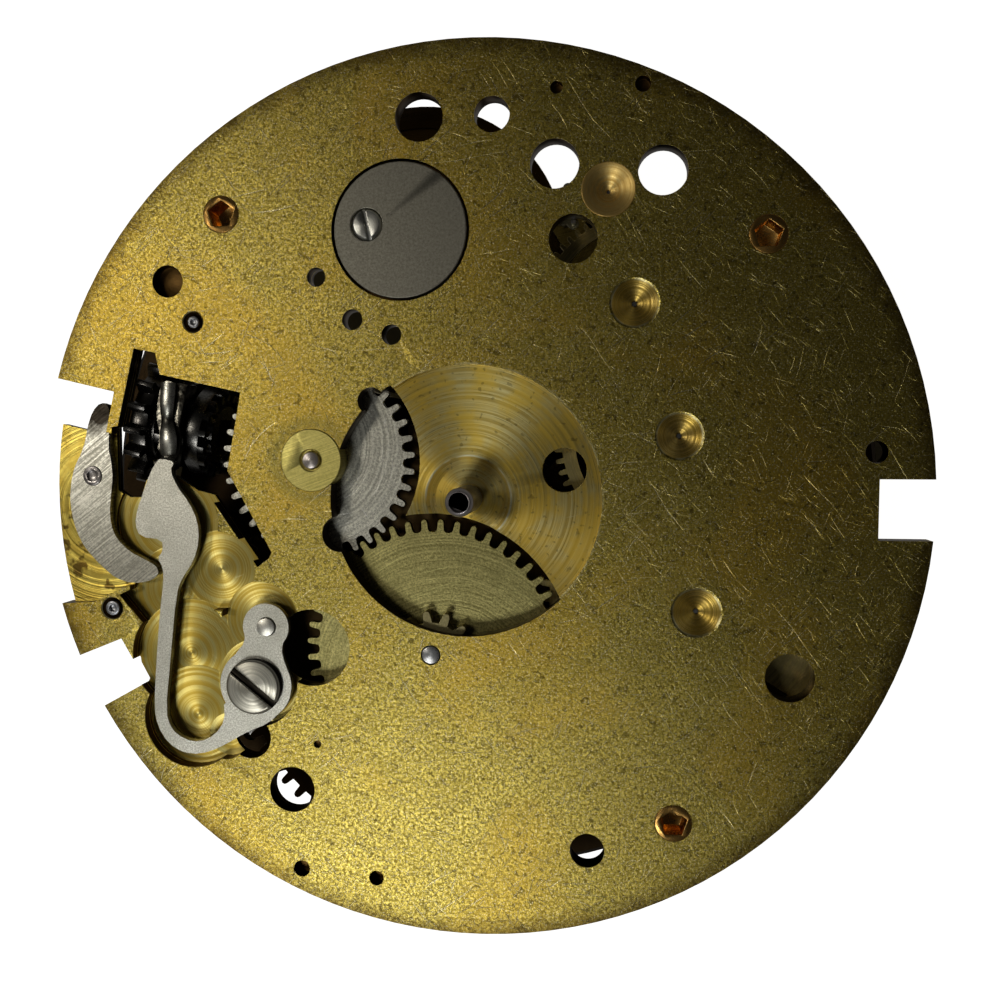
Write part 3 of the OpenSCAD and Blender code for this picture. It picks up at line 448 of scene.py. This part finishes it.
def turned_metal(name, c, dark, light, pitch=0.09, r0=0.34, r1=0.24, aniso=0.75, grain_s=14.0, scratch=0.5, bump=0.25, seed=0.0, tint=None, inner=None):
    """Flat or dished piece turned on the axis c."""
    m = Mat(name)
    rg = m.rings(c, pitch, seed, 3.0, 0.05)
    col = m.mix(m.span(rg, 0.32, 0.68), dark, light)
    if tint is not None:
        col = m.mix(m.mul(m.span(m.noise(1.1, 3.0, 0.6), 0.45, 0.7), 0.6), col, tint)
    lines = m.math("MAXIMUM", m.streaks(25 + seed * 13, 0.5, 20, 0.72, 0.79, 3.0 + seed, 2.0, 0.6),
                   m.streaks(-60 + seed * 7, 0.4, 18, 0.73, 0.79, 9.0 + seed, 2.0, 0.6))
    col = m.mix(m.mul(lines, scratch), col, tuple(min(1, v * 1.35) for v in light))
    g = grain(m, grain_s)
    # painted shade: inner gives a height past which the piece is coloured dark
    if inner is not None:
        col = m.mix(m.span(m.z, inner[0], inner[1]), col, m.mix(m.noise(1.5, 3.0, 0.6), tuple(v * 0.5 for v in inner[2]), inner[2]))
    rough = m.add(m.span(rg, 0.3, 0.7, r0, r1), m.span(g, 0.3, 0.7, -0.03, 0.05))
    h = m.add(m.mul(rg, 0.8), m.mul(g, 0.5))
    return m.done(col, rough, m.bump(h, bump, 0.01), aniso=aniso, tangent=m.tangent_round(c))


def satin_metal(name, dark, light, rough=(0.42, 0.30), gs=16.0, brush=None, bump=0.35, scratch=0.4, stain=None, metallic=1.0, seed=0.0, inner=None):
    """Grained or straight-brushed piece. inner = (z from, z to, colour): what it becomes above that height, which
    paints shade on faces that lie in the movement's shade.
    """
    m = Mat(name)
    g = grain(m, gs)
    f = g
    if brush is not None:
        f = m.add(m.mul(g, 0.55), m.mul(m.streaks(brush, 0.8, 26, 0.2, 0.8, 2.0 + seed, 3.0), 0.45))
    col = m.mix(m.span(f, 0.34, 0.66), dark, light)
    if stain is not None:
        col = m.mix(m.mul(m.span(m.noise(1.4, 3.0, 0.6), 0.48, 0.7), 0.5), col, stain)
    lines = m.math("MAXIMUM", m.streaks(-35 + seed * 11, 0.5, 22, 0.73, 0.79, 5.0 + seed, 2.0, 0.6),
                   m.streaks(64 + seed * 5, 0.45, 20, 0.735, 0.79, 14.0 + seed, 2.0, 0.6))
    col = m.mix(m.mul(lines, scratch), col, tuple(min(1, v * 1.3 + 0.03) for v in light))
    if inner is not None:
        col = m.mix(m.span(m.z, inner[0], inner[1]), col, m.mix(m.noise(1.5, 3.0, 0.6), tuple(v * 0.5 for v in inner[2]), inner[2]))
    rgh = m.span(f, 0.3, 0.7, rough[0], rough[1])
    h = m.add(m.mul(f, 1.0), m.mul(lines, -0.4))
    return m.done(col, rgh, m.bump(h, bump, 0.008), metallic=metallic)


def worn_wheel(name, c, dark, light, seed=0.0, arcs=0.35):
    """Flat wheel with a granular face, faint curved marks round c and hair scratches."""
    m = Mat(name)
    g = grain(m, 13.0)
    rg = m.rings(c, 0.10, seed, 3.0, 0.12)
    f = m.add(m.mul(g, 1.0 - arcs), m.mul(rg, arcs))
    col = m.mix(m.span(f, 0.42, 0.585), tuple(v * 0.80 for v in dark), tuple(min(1, v * 1.06) for v in light))
    col = m.mix(m.mul(m.span(m.noise(1.3, 3.0, 0.6), 0.45, 0.7), 0.45), col, tuple(v * 0.8 for v in dark))
    lines = m.math("MAXIMUM", m.streaks(-58, 0.9, 22, 0.69, 0.77, 3.0 + seed, 2.0, 0.8),
                   m.streaks(72, 1.1, 24, 0.70, 0.78, 9.0 + seed, 2.0, 0.8))
    arc = m.span(m.rings((c[0] + 0.8, c[1] - 0.6), 0.05, seed + 5.0, 2.0, 0.2), 0.64, 0.72)
    arc = m.mul(arc, m.span(m.noise(0.9, 2.0, 0.5), 0.48, 0.62))
    lines = m.math("MAXIMUM", lines, m.mul(arc, 0.7))
    col = m.mix(m.mul(lines, 0.85), col, tuple(min(1, v * 1.45) for v in light))
    rough = m.add(m.span(f, 0.3, 0.7, 0.44, 0.33), m.mul(lines, -0.08))
    return m.done(col, rough, m.bump(m.add(f, m.mul(lines, -0.25)), 0.7, 0.012))


def screw_metal(name, c, dark, light, seed=0.0):
    """Polished screw head with faint turning marks, hair scratches and dull edges."""
    return turned_metal(name, c, dark, light, 0.07, 0.36, 0.26, 0.45, 18.0, 0.6, 0.22, seed)


def lever_metal(name):
    """Granular satin steel; the part that stands down in the plate's pocket is painted darker as shade, and is
    smoother.
    """
    m = Mat(name)
    g = grain(m, 18.0)
    deep = m.span(m.z, -0.24, -0.17, 1.0, 0.0)
    col = m.mix(m.span(g, 0.42, 0.59), (0.62, 0.60, 0.50), (1.0, 0.99, 0.88))
    col = m.mix(m.mul(m.span(m.noise(0.8, 3.0, 0.6), 0.45, 0.72), 0.5), col, (0.50, 0.49, 0.40))
    lines = m.math("MAXIMUM", m.streaks(64, 0.5, 22, 0.70, 0.78, 5.0, 2.0, 0.6), m.streaks(-30, 0.6, 20, 0.71, 0.79, 14.0, 2.0, 0.6))
    col = m.mix(m.mul(lines, 0.75), col, (1.0, 0.99, 0.92))
    # painted shade: the part standing down in the pocket is coloured dark
    pocket_shade = m.mix(m.span(m.noise(2.6, 3.0, 0.6), 0.38, 0.62), (0.05, 0.045, 0.036), (0.30, 0.285, 0.235))
    col = m.mix(deep, col, pocket_shade)
    rough = m.fmix(deep, m.span(g, 0.43, 0.585, 0.44, 0.30), 0.24)
    h = m.fmix(deep, m.add(g, m.mul(lines, -0.3)), m.mul(m.noise(3.0, 2.0), 4.0))
    return m.done(col, rough, m.bump(h, 0.75, 0.010))


def swing_lever_metal(name):
    """Granular steel with diagonal brushing, lighter at the pivot and darker towards the tail, with painted shadow at
    the top end.
    """
    m = Mat(name)
    g = m.add(m.mul(grain(m, 14.0), 0.6), m.mul(m.streaks(38, 0.7, 17, 0.2, 0.8, 12.0, 3.0), 0.4))
    col = m.mix(m.span(g, 0.42, 0.60), (0.50, 0.485, 0.40), (1.0, 0.985, 0.87))
    tail = m.span(m.y, -2.6, 0.2, 1.0, 0.0)
    col = m.mix(m.mul(tail, 0.75), col, m.mix(m.span(g, 0.42, 0.60), (0.24, 0.225, 0.18), (0.62, 0.60, 0.50)))
    # painted shadow: the top end, shaded by the notch wall, is coloured nearly black
    top = m.span(m.add(m.y, m.mul(m.noise(2.0, 3.0, 0.6), 0.8)), 2.35, 2.95)
    col = m.mix(top, col, m.mix(m.noise(4.0, 2.0), (0.010, 0.008, 0.006), (0.060, 0.050, 0.038)))
    lines = m.math("MAXIMUM", m.streaks(28, 0.5, 18, 0.70, 0.78, 5.0, 2.0, 0.6), m.streaks(-48, 0.6, 20, 0.71, 0.79, 14.0, 2.0, 0.6))
    col = m.mix(m.mul(lines, 0.6), col, (1.0, 0.99, 0.90))
    rough = m.span(g, 0.42, 0.60, 0.40, 0.28)
    return m.done(col, rough, m.bump(m.add(g, m.mul(lines, -0.3)), 0.7, 0.010))


def give(node, mat):
    o = NODES[node]
    o.data.materials.clear()
    o.data.materials.append(mat)


# ---------------------------------------------------------------------------
# finer meshes: a copy of the node's mesh with its edges broken
# ---------------------------------------------------------------------------
def broken_edges(node, mat, width=0.03, segments=2, limit=32, flat=0.7, clamp=True, roots=0.0, shallow=0.0):
    """Copies the node's mesh, merges its flat faces and rounds its edges by width mm. The node isn't shown."""
    src = NODES[node]
    bm = bmesh.new()
    bm.from_mesh(src.data)
    bmesh.ops.remove_doubles(bm, verts=bm.verts, dist=2e-7)
    if node == "return_lever":
        # the blade's flat top goes down and in, under the formed strip that is made below
        for v in bm.verts:
            d = (v.co.x * 1000 * CT - v.co.y * 1000 * ST, v.co.x * 1000 * ST + v.co.y * 1000 * CT)
            if d[1] > 1.3 and -0.3e-3 < v.co.z < -0.24e-3:
                v.co.z = -0.52e-3
    bmesh.ops.dissolve_limit(bm, angle_limit=math.radians(flat), use_dissolve_boundaries=False, verts=bm.verts, edges=bm.edges, delimit=set())
    if roots:
        # rounded gaps between the teeth
        deep = [e for e in bm.edges if len(e.link_faces) == 2 and e.calc_face_angle(0.0) > math.radians(68)
                and abs(e.verts[0].co.z - e.verts[1].co.z) > 0.9 * e.calc_length() and not e.is_convex]
        if deep:
            bmesh.ops.bevel(bm, geom=deep, offset=roots / 1000, offset_type="OFFSET", segments=4, profile=0.5, affect="EDGES", clamp_overlap=True)
    edges = [e for e in bm.edges if len(e.link_faces) == 2 and (
        e.calc_face_angle(0.0) > math.radians(limit)
        or shallow and e.calc_face_angle(0.0) > math.radians(shallow) and abs(e.verts[0].co.z - e.verts[1].co.z) < 1e-6)]
    if edges and width > 0:
        bmesh.ops.bevel(bm, geom=edges, offset=width / 1000, offset_type="OFFSET", segments=segments, profile=0.5, affect="EDGES", clamp_overlap=clamp)
    bmesh.ops.recalc_face_normals(bm, faces=bm.faces)
    me = bpy.data.meshes.new(node + "_fine")
    bm.to_mesh(me)
    bm.free()
    me.shade_smooth()
    me.set_sharp_from_angle(angle=math.radians(52))
    o = bpy.data.objects.new(node + "_fine", me)
    scene.collection.objects.link(o)
    me.materials.append(mat)
    w = o.modifiers.new("weighted", "WEIGHTED_NORMAL")
    w.keep_sharp = True
    w.weight = 95
    if node == "return_lever":
        # its long leg runs between the screwed boss and the end that shifts the sliding pinion; here the copy's
        # modifiers and placing are baked into its mesh and it is left without a body
        done = bpy.data.meshes.new_from_object(o.evaluated_get(bpy.context.evaluated_depsgraph_get()))
        o.modifiers.clear()
        o.data = done
        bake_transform(o)
    elif node == "hairspring":
        # held at the stud: the collet turns in its inner end
        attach(o, "frame")
    else:
        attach(o, src["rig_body"])
    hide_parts(node)
    return o


plate = plate_material()
STEEL_D, STEEL_L = (0.40, 0.41, 0.41), (0.66, 0.67, 0.66)
mats = {
    "main_plate": plate,
    "pillars": satin_metal("pillar_brass", (0.50, 0.26, 0.06), (0.82, 0.50, 0.15), (0.34, 0.24), 12.0, bump=0.3),
    "centre_post": screw_metal("post_steel", O, (0.32, 0.29, 0.29), (0.66, 0.62, 0.62), 1.0),
    "escape_bush": turned_metal("bush_gold", F, (0.78, 0.50, 0.13), (1.0, 0.74, 0.27), 0.09, 0.50, 0.38, 0.35, bump=0.2, seed=2.0),
    "setting_bush": satin_metal("bush_flat", (0.62, 0.54, 0.14), (1.0, 0.88, 0.30), (0.46, 0.36), 14.0, 20, 0.3, 0.5, seed=3.0),
    "balance_cap": satin_metal("cap_grey", (0.27, 0.255, 0.205), (0.46, 0.44, 0.36), (0.52, 0.40), 13.0, None, 0.35, 0.35, seed=4.0),
    "cap_screw": screw_metal("cap_screw_steel", (-3.3, 8.9), (0.42, 0.42, 0.38), (0.74, 0.74, 0.68), 5.0),
    "dial_pins": satin_metal("pin_steel", (0.30, 0.31, 0.33), (0.55, 0.56, 0.58), (0.42, 0.3), 18.0, bump=0.3, seed=6.0),
    "return_lever_post": satin_metal("post_end_steel", (0.62, 0.61, 0.53), (1.0, 0.98, 0.88), (0.40, 0.28), 18.0, bump=0.3, seed=7.0),
    # painted shade: below 0.185 mm the screw, its slot included, is coloured nearly black
    "return_lever_screw": turned_metal("lever_screw_steel", SCREW, (0.46, 0.44, 0.36), (0.88, 0.85, 0.72), 0.07, 0.40, 0.29, 0.45, 18.0, 0.7, 0.3, 8.0, inner=(0.215, 0.185, (0.030, 0.026, 0.020))),
    "return_lever": lever_metal("lever_steel"),
    "setting_lever": swing_lever_metal("setting_lever_steel"),
    "setting_lever_screw": screw_metal("lever_axle_steel", LEVER, (0.26, 0.24, 0.23), (0.50, 0.47, 0.45), 11.0),
    # painted shade: the winding and sliding pinions stand in the dark pocket and are coloured nearly black
    "winding_pinion": satin_metal("pinion_dark", (0.05, 0.048, 0.044), (0.20, 0.19, 0.175), (0.34, 0.20), 12.0, None, 0.3, 0.2, seed=12.0),
    "sliding_pinion": satin_metal("clutch_steel", (0.05, 0.05, 0.046), (0.22, 0.215, 0.20), (0.34, 0.20), 12.0, None, 0.3, 0.3, seed=13.0),
    "setting_wheel": worn_wheel("wheel_steel", (A[0] - 0.35, A[1] + 0.5), (0.54, 0.525, 0.44), (0.96, 0.93, 0.80), 14.0),
    "setting_arbor": screw_metal("arbor_steel", A, (0.40, 0.36, 0.34), (0.72, 0.66, 0.62), 15.0),
    "minute_wheel": worn_wheel("minute_brass", (B[0] + 0.4, B[1] - 1.2), (0.40, 0.355, 0.125), (0.74, 0.66, 0.26), 16.0),
    "minute_pinion": satin_metal("minute_pinion_brass", (0.30, 0.26, 0.12), (0.56, 0.48, 0.24), (0.4, 0.28), 14.0, seed=17.0),
    # painted shade: barrel drum and cover are coloured dark brown above the heights they give, under the plate
    "barrel_drum": turned_metal("barrel_brass", B, (0.46, 0.36, 0.12), (0.68, 0.55, 0.24), 0.12, 0.42, 0.32, 0.5, 12.0, 0.5, 0.25, 18.0, inner=(-1.75, -1.63, (0.12, 0.075, 0.03))),
    "barrel_cover": turned_metal("cover_brass", B, (0.44, 0.35, 0.12), (0.64, 0.53, 0.24), 0.12, 0.42, 0.32, 0.5, 12.0, 0.5, 0.25, 19.0, inner=(-1.9, -1.7, (0.12, 0.075, 0.03))),
    "barrel_arbor": screw_metal("barrel_arbor_steel", B, (0.36, 0.37, 0.37), (0.62, 0.62, 0.62), 20.0),
    "mainspring": satin_metal("spring_steel", (0.20, 0.22, 0.27), (0.36, 0.38, 0.45), (0.34, 0.24), 14.0, seed=21.0),
    "second_wheel": turned_metal("second_brass", C, (0.46, 0.38, 0.14), (0.70, 0.58, 0.26), 0.1, 0.40, 0.30, 0.5, 14.0, 0.5, 0.25, 22.0),
    "third_wheel": turned_metal("third_brass", D, (0.46, 0.38, 0.14), (0.70, 0.58, 0.26), 0.1, 0.40, 0.30, 0.5, 14.0, 0.5, 0.25, 23.0),
    "fourth_wheel": turned_metal("fourth_brass", E, (0.46, 0.38, 0.14), (0.70, 0.58, 0.26), 0.1, 0.40, 0.30, 0.5, 14.0, 0.5, 0.25, 24.0),
    "escape_wheel": turned_metal("escape_brass", F, (0.50, 0.42, 0.16), (0.74, 0.60, 0.28), 0.1, 0.36, 0.26, 0.5, 14.0, 0.5, 0.25, 25.0),
    # painted shade: the balance wheel is coloured dark brown above -3.85 mm, where it lies under the plate
    "balance_wheel": turned_metal("balance_brass", G, (0.50, 0.40, 0.15), (0.76, 0.62, 0.28), 0.12, 0.34, 0.24, 0.6, 12.0, 0.5, 0.25, 26.0, inner=(-3.95, -3.85, (0.11, 0.07, 0.03))),
    "impulse_roller": turned_metal("roller_brass", G, (0.50, 0.40, 0.15), (0.76, 0.62, 0.28), 0.1, 0.36, 0.26, 0.4, seed=27.0),
    "hairspring_collet": turned_metal("collet_brass", G, (0.50, 0.40, 0.15), (0.76, 0.62, 0.28), 0.1, 0.36, 0.26, 0.4, seed=28.0),
    "hairspring": satin_metal("hairspring_steel", (0.10, 0.13, 0.26), (0.22, 0.27, 0.46), (0.32, 0.22), 20.0, bump=0.15, seed=29.0),
    "pallet_fork": satin_metal("fork_brass", (0.40, 0.36, 0.20), (0.60, 0.54, 0.32), (0.4, 0.3), 15.0, seed=30.0),
    "pallet_cock": satin_metal("cock_brass_small", (0.40, 0.33, 0.11), (0.64, 0.53, 0.21), (0.44, 0.34), 12.0, 15, seed=31.0),
    "balance_cock": satin_metal("cock_brass", (0.42, 0.345, 0.11), (0.68, 0.56, 0.22), (0.42, 0.32), 10.0, 35, 0.4, 0.5, seed=32.0),
    # painted shade: the back plate's inner face, above -3.75 mm, is coloured nearly black
    "back_plate": satin_metal("back_brass", (0.40, 0.32, 0.09), (0.66, 0.54, 0.20), (0.46, 0.34), 9.0, None, 0.45, 0.6, (0.30, 0.23, 0.07), seed=33.0, inner=(-3.95, -3.75, (0.030, 0.019, 0.009))),
    "back_bushes": satin_metal("bush_back", (0.56, 0.40, 0.13), (0.86, 0.66, 0.28), (0.32, 0.24), 14.0, seed=34.0),
    "ratchet_wheel": turned_metal("ratchet_steel", B, (0.42, 0.42, 0.41), (0.68, 0.68, 0.66), 0.16, 0.34, 0.24, 0.7, 14.0, 0.4, 0.25, 35.0),
    "crown_wheel": turned_metal("crown_steel", K, (0.42, 0.42, 0.41), (0.68, 0.68, 0.66), 0.14, 0.34, 0.24, 0.7, 14.0, 0.4, 0.25, 36.0),
    "crown_wheel_core": turned_metal("core_steel", K, (0.40, 0.40, 0.40), (0.66, 0.66, 0.65), 0.1, 0.34, 0.24, 0.6, 14.0, 0.4, 0.25, 37.0),
    "regulator": satin_metal("regulator_steel", (0.42, 0.42, 0.41), (0.68, 0.68, 0.66), (0.38, 0.26), 16.0, 60, seed=38.0),
    "upper_cap": satin_metal("upper_cap_steel", (0.30, 0.30, 0.31), (0.50, 0.50, 0.50), (0.42, 0.32), 14.0, seed=39.0),
    "click": satin_metal("click_steel", (0.40, 0.40, 0.40), (0.66, 0.66, 0.64), (0.38, 0.28), 15.0, -30, seed=40.0),
    "click_spring": satin_metal("click_spring_steel", (0.30, 0.31, 0.34), (0.52, 0.53, 0.56), (0.36, 0.26), 15.0, 10, seed=41.0),
}
dark_pinion = satin_metal("train_pinion_steel", (0.26, 0.26, 0.26), (0.50, 0.50, 0.49), (0.34, 0.24), 14.0, seed=42.0)
small_steel = satin_metal("small_steel", (0.44, 0.44, 0.43), (0.70, 0.70, 0.68), (0.34, 0.24), 18.0, seed=43.0)
for n in ("second_pinion", "third_pinion", "fourth_pinion", "escape_pinion"):
    mats[n] = dark_pinion
for n in ("pallet_arbor", "pallet_pins", "pallet_cock_screw", "balance_staff", "hairspring_stud", "cock_screw", "upper_cap_screws",
          "pillar_screws", "ratchet_screw", "crown_core_screws", "click_screw"):
    mats[n] = small_steel
for n in NODES:
    give(n, mats[n])

widths = {
    "main_plate": 0.035, "pillars": 0.02, "centre_post": 0.03, "escape_bush": 0.02, "setting_bush": 0.03, "balance_cap": 0.04,
    "cap_screw": 0.02, "dial_pins": 0.02, "return_lever_post": 0.06, "return_lever_screw": 0.04, "return_lever": 0.045,
    "setting_lever": 0.035, "setting_lever_screw": 0.02, "winding_pinion": 0.03, "sliding_pinion": 0.03, "setting_wheel": 0.02,
    "setting_arbor": 0.02, "minute_wheel": 0.02, "minute_pinion": 0.015, "second_wheel": 0.015, "third_wheel": 0.015,
    "fourth_wheel": 0.015, "barrel_drum": 0.02, "barrel_cover": 0.02, "barrel_arbor": 0.02, "back_plate": 0.035, "balance_cock": 0.04,
    "cock_screw": 0.02, "regulator": 0.025, "upper_cap": 0.02, "pillar_screws": 0.02, "ratchet_wheel": 0.025, "ratchet_screw": 0.03,
    "crown_wheel": 0.025, "crown_wheel_core": 0.03, "click": 0.02, "click_screw": 0.02, "click_spring": 0.02, "balance_wheel": 0.03,
    "pallet_cock": 0.02, "hairspring": 0.0,
}
roots_of = {"setting_wheel": 0.11, "minute_wheel": 0.11}
for n, w in widths.items():
    broken_edges(n, mats[n], w, roots=roots_of.get(n, 0.0), shallow=12.0 if n == "main_plate" else 0.0)


def formed_strip(name, sections, mat, body, across=9, sub=4):
    """Closed bent strip along the sections (x, y, half width, top height, drop at the edges, tilt), drawing mm."""
    def at(t):
        i = min(int(t), len(sections) - 2)
        f = t - i
        a, b = sections[max(i - 1, 0)], sections[i]
        c, d = sections[i + 1], sections[min(i + 2, len(sections) - 1)]
        return [0.5 * (2 * q + (r_ - p_) * f + (2 * p_ - 5 * q + 4 * r_ - w_) * f * f + (3 * q - p_ - 3 * r_ + w_) * f ** 3)
                for p_, q, r_, w_ in zip(a, b, c, d)]
    n = (len(sections) - 1) * sub
    tops, lows = [], []
    bm = bmesh.new()
    for k in range(n + 1):
        x, y, hw, top, drop, tilt = at(k * (len(sections) - 1) / n)
        x2, y2 = at(min(k * (len(sections) - 1) / n + 0.05, len(sections) - 1.001))[:2]
        x1, y1 = at(max(k * (len(sections) - 1) / n - 0.05, 0.0))[:2]
        d = Vector((x2 - x1, y2 - y1)).normalized()
        nx, ny = -d.y, d.x
        tops.append([])
        lows.append([])
        for j in range(across):
            u = -1 + 2 * j / (across - 1)
            z = top - drop * abs(u) ** 2.4 + tilt * u
            tops[-1].append(bm.verts.new(row(x + nx * hw * u, y + ny * hw * u, z)))
            lows[-1].append(bm.verts.new(row(x + nx * hw * 0.92 * u, y + ny * hw * 0.92 * u, min(z - 0.05, top - drop - 0.10))))
    for k in range(n):
        for j in range(across - 1):
            bm.faces.new((tops[k][j], tops[k][j + 1], tops[k + 1][j + 1], tops[k + 1][j]))
            bm.faces.new((lows[k][j + 1], lows[k][j], lows[k + 1][j], lows[k + 1][j + 1]))
        bm.faces.new((tops[k][0], tops[k + 1][0], lows[k + 1][0], lows[k][0]))
        bm.faces.new((tops[k + 1][-1], tops[k][-1], lows[k][-1], lows[k + 1][-1]))
    for k, flip in ((0, False), (n, True)):
        for j in range(across - 1):
            q = (tops[k][j], lows[k][j], lows[k][j + 1], tops[k][j + 1])
            bm.faces.new(q[::-1] if flip else q)
    bmesh.ops.recalc_face_normals(bm, faces=bm.faces)
    me = bpy.data.meshes.new(name)
    bm.to_mesh(me)
    bm.free()
    me.shade_smooth()
    me.set_sharp_from_angle(angle=math.radians(50))
    me.materials.append(mat)
    o = bpy.data.objects.new(name, me)
    scene.collection.objects.link(o)
    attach(o, body)
    return o


def blade_metal(name):
    """Burnished steel of the formed blade, with painted highlight bands and painted shade at its narrow waists."""
    m = Mat(name)
    g = grain(m, 14.0)
    col = m.mix(m.span(g, 0.42, 0.60), (0.26, 0.255, 0.215), (0.66, 0.65, 0.56))
    # painted highlights: two bright bands across the blade
    bright = m.math("MAXIMUM", m.mul(m.band(m.y, 2.95, 3.75, 0.2), 0.9), m.band(m.y, 1.80, 2.20, 0.15))
    col = m.mix(m.mul(bright, m.span(m.noise(1.6, 3.0, 0.6), 0.36, 0.56)), col, (1.0, 0.985, 0.88))
    # painted shade: dark bands at the blade's narrow waists
    waist = m.math("MAXIMUM", m.band(m.y, 2.48, 2.74, 0.12), m.mul(m.band(m.y, 1.25, 1.50, 0.12), 0.8))
    col = m.mix(m.mul(waist, 0.85), col, (0.05, 0.045, 0.036))
    return m.done(col, m.span(g, 0.42, 0.6, 0.36, 0.26), m.bump(g, 0.3, 0.006))


# the return lever's blade is bent down and formed where it passes between the pinions
formed_strip("return_lever_blade", [
    (-10.34, 3.88, 0.27, -0.30, 0.08, 0.00), (-10.36, 3.50, 0.26, -0.28, 0.08, 0.00), (-10.40, 3.05, 0.24, -0.28, 0.08, 0.00),
    (-10.44, 2.62, 0.20, -0.36, 0.08, 0.00), (-10.40, 2.30, 0.26, -0.28, 0.08, 0.00), (-10.36, 1.95, 0.30, -0.24, 0.09, 0.00),
    (-10.38, 1.60, 0.29, -0.27, 0.08, 0.00), (-10.41, 1.32, 0.25, -0.30, 0.07, 0.00), (-10.42, 1.12, 0.28, -0.22, 0.05, 0.00),
    (-10.40, 0.92, 0.28, -0.20, 0.05, 0.00)],
    blade_metal("blade_steel"), "return_lever")

# ---------------------------------------------------------------------------
# floor, light, air
# ---------------------------------------------------------------------------
floor_z = cad_box[0].z - 0.00002
bm = bmesh.new()
bmesh.ops.create_grid(bm, x_segments=4, y_segments=4, size=0.6)
me = bpy.data.meshes.new("floor")
bm.to_mesh(me)
bm.free()
floor = bpy.data.objects.new("floor", me)
scene.collection.objects.link(floor)
floor.location.z = floor_z
fm = Mat("floor_paper")
paper = fm.mix(fm.noise(0.05, 2.0), (0.86, 0.86, 0.85), (0.90, 0.90, 0.89))
# painted shadow: the paper is dark and does not glow under the movement and at two spots seen through holes; further
# out it glows evenly white
glow = fm.span(fm.dist_to(O), 10.95, 11.4, 0.0, 1.0, "SMOOTHSTEP")
for spot, size in (((14.4, 1.5), 0.45), ((-12.55, 0.66), 0.40)):
    glow = fm.mul(glow, fm.span(fm.dist_to(spot), size, size + 0.2))
paper = fm.mix(fm.mul(fm.sub(1.0, glow), 0.9), paper, (0.045, 0.036, 0.026))
fm.done(paper, 0.85, metallic=0.0)
fm.b.inputs["Emission Color"].default_value = (1.0, 0.995, 0.985, 1)
fm.put(fm.b.inputs["Emission Strength"], glow)
floor.visible_glossy = False
me.materials.append(fm.m)


def area(name, az, el, dist, size, energy, color=(1, 1, 1), aim=(0, 0, 0), size_y=None):
    """Area light at azimuth and elevation (drawing frame, degrees), dist in mm from the aim point."""
    a, e = math.radians(az), math.radians(el)
    d = Vector((math.cos(e) * math.cos(a), math.cos(e) * math.sin(a), math.sin(e)))
    L = bpy.data.lights.new(name, "AREA")
    L.shape = "RECTANGLE" if size_y else "DISK"
    L.size = size / 1000
    if size_y:
        L.size_y = size_y / 1000
    L.energy = energy
    L.color = color
    o = bpy.data.objects.new(name, L)
    scene.collection.objects.link(o)
    o.location = row(*(Vector(aim) + d * dist))
    o.rotation_euler = row_dir(*d).to_track_quat("Z", "Y").to_euler()
    return o


area("key", 242, 56, 400, 110, 0.194, (1.0, 1.0, 0.98))
area("side", 166, 57, 400, 80, 0.129, (1.0, 0.94, 0.84))

world = bpy.data.worlds.new("air")
scene.world = world
world.use_nodes = True
wt = world.node_tree
bg = wt.nodes["Background"]
wc = wt.nodes.new("ShaderNodeTexCoord")
ws = wt.nodes.new("ShaderNodeSeparateXYZ")
wr = wt.nodes.new("ShaderNodeMapRange")
wr.interpolation_type = "SMOOTHSTEP"
wt.links.new(wc.outputs["Generated"], ws.inputs[0])
wt.links.new(ws.outputs[2], wr.inputs[0])
for k, v in zip(range(1, 5), (-0.05, 0.45, 0.20, 0.010)):
    wr.inputs[k].default_value = v
wt.links.new(wr.outputs[0], bg.inputs[1])
bg.inputs[0].default_value = (1.0, 0.98, 0.95, 1)

scene.view_settings.view_transform = "Standard"
scene.view_settings.look = "None"
scene.view_settings.exposure = 0.0
scene.view_settings.gamma = 1.0
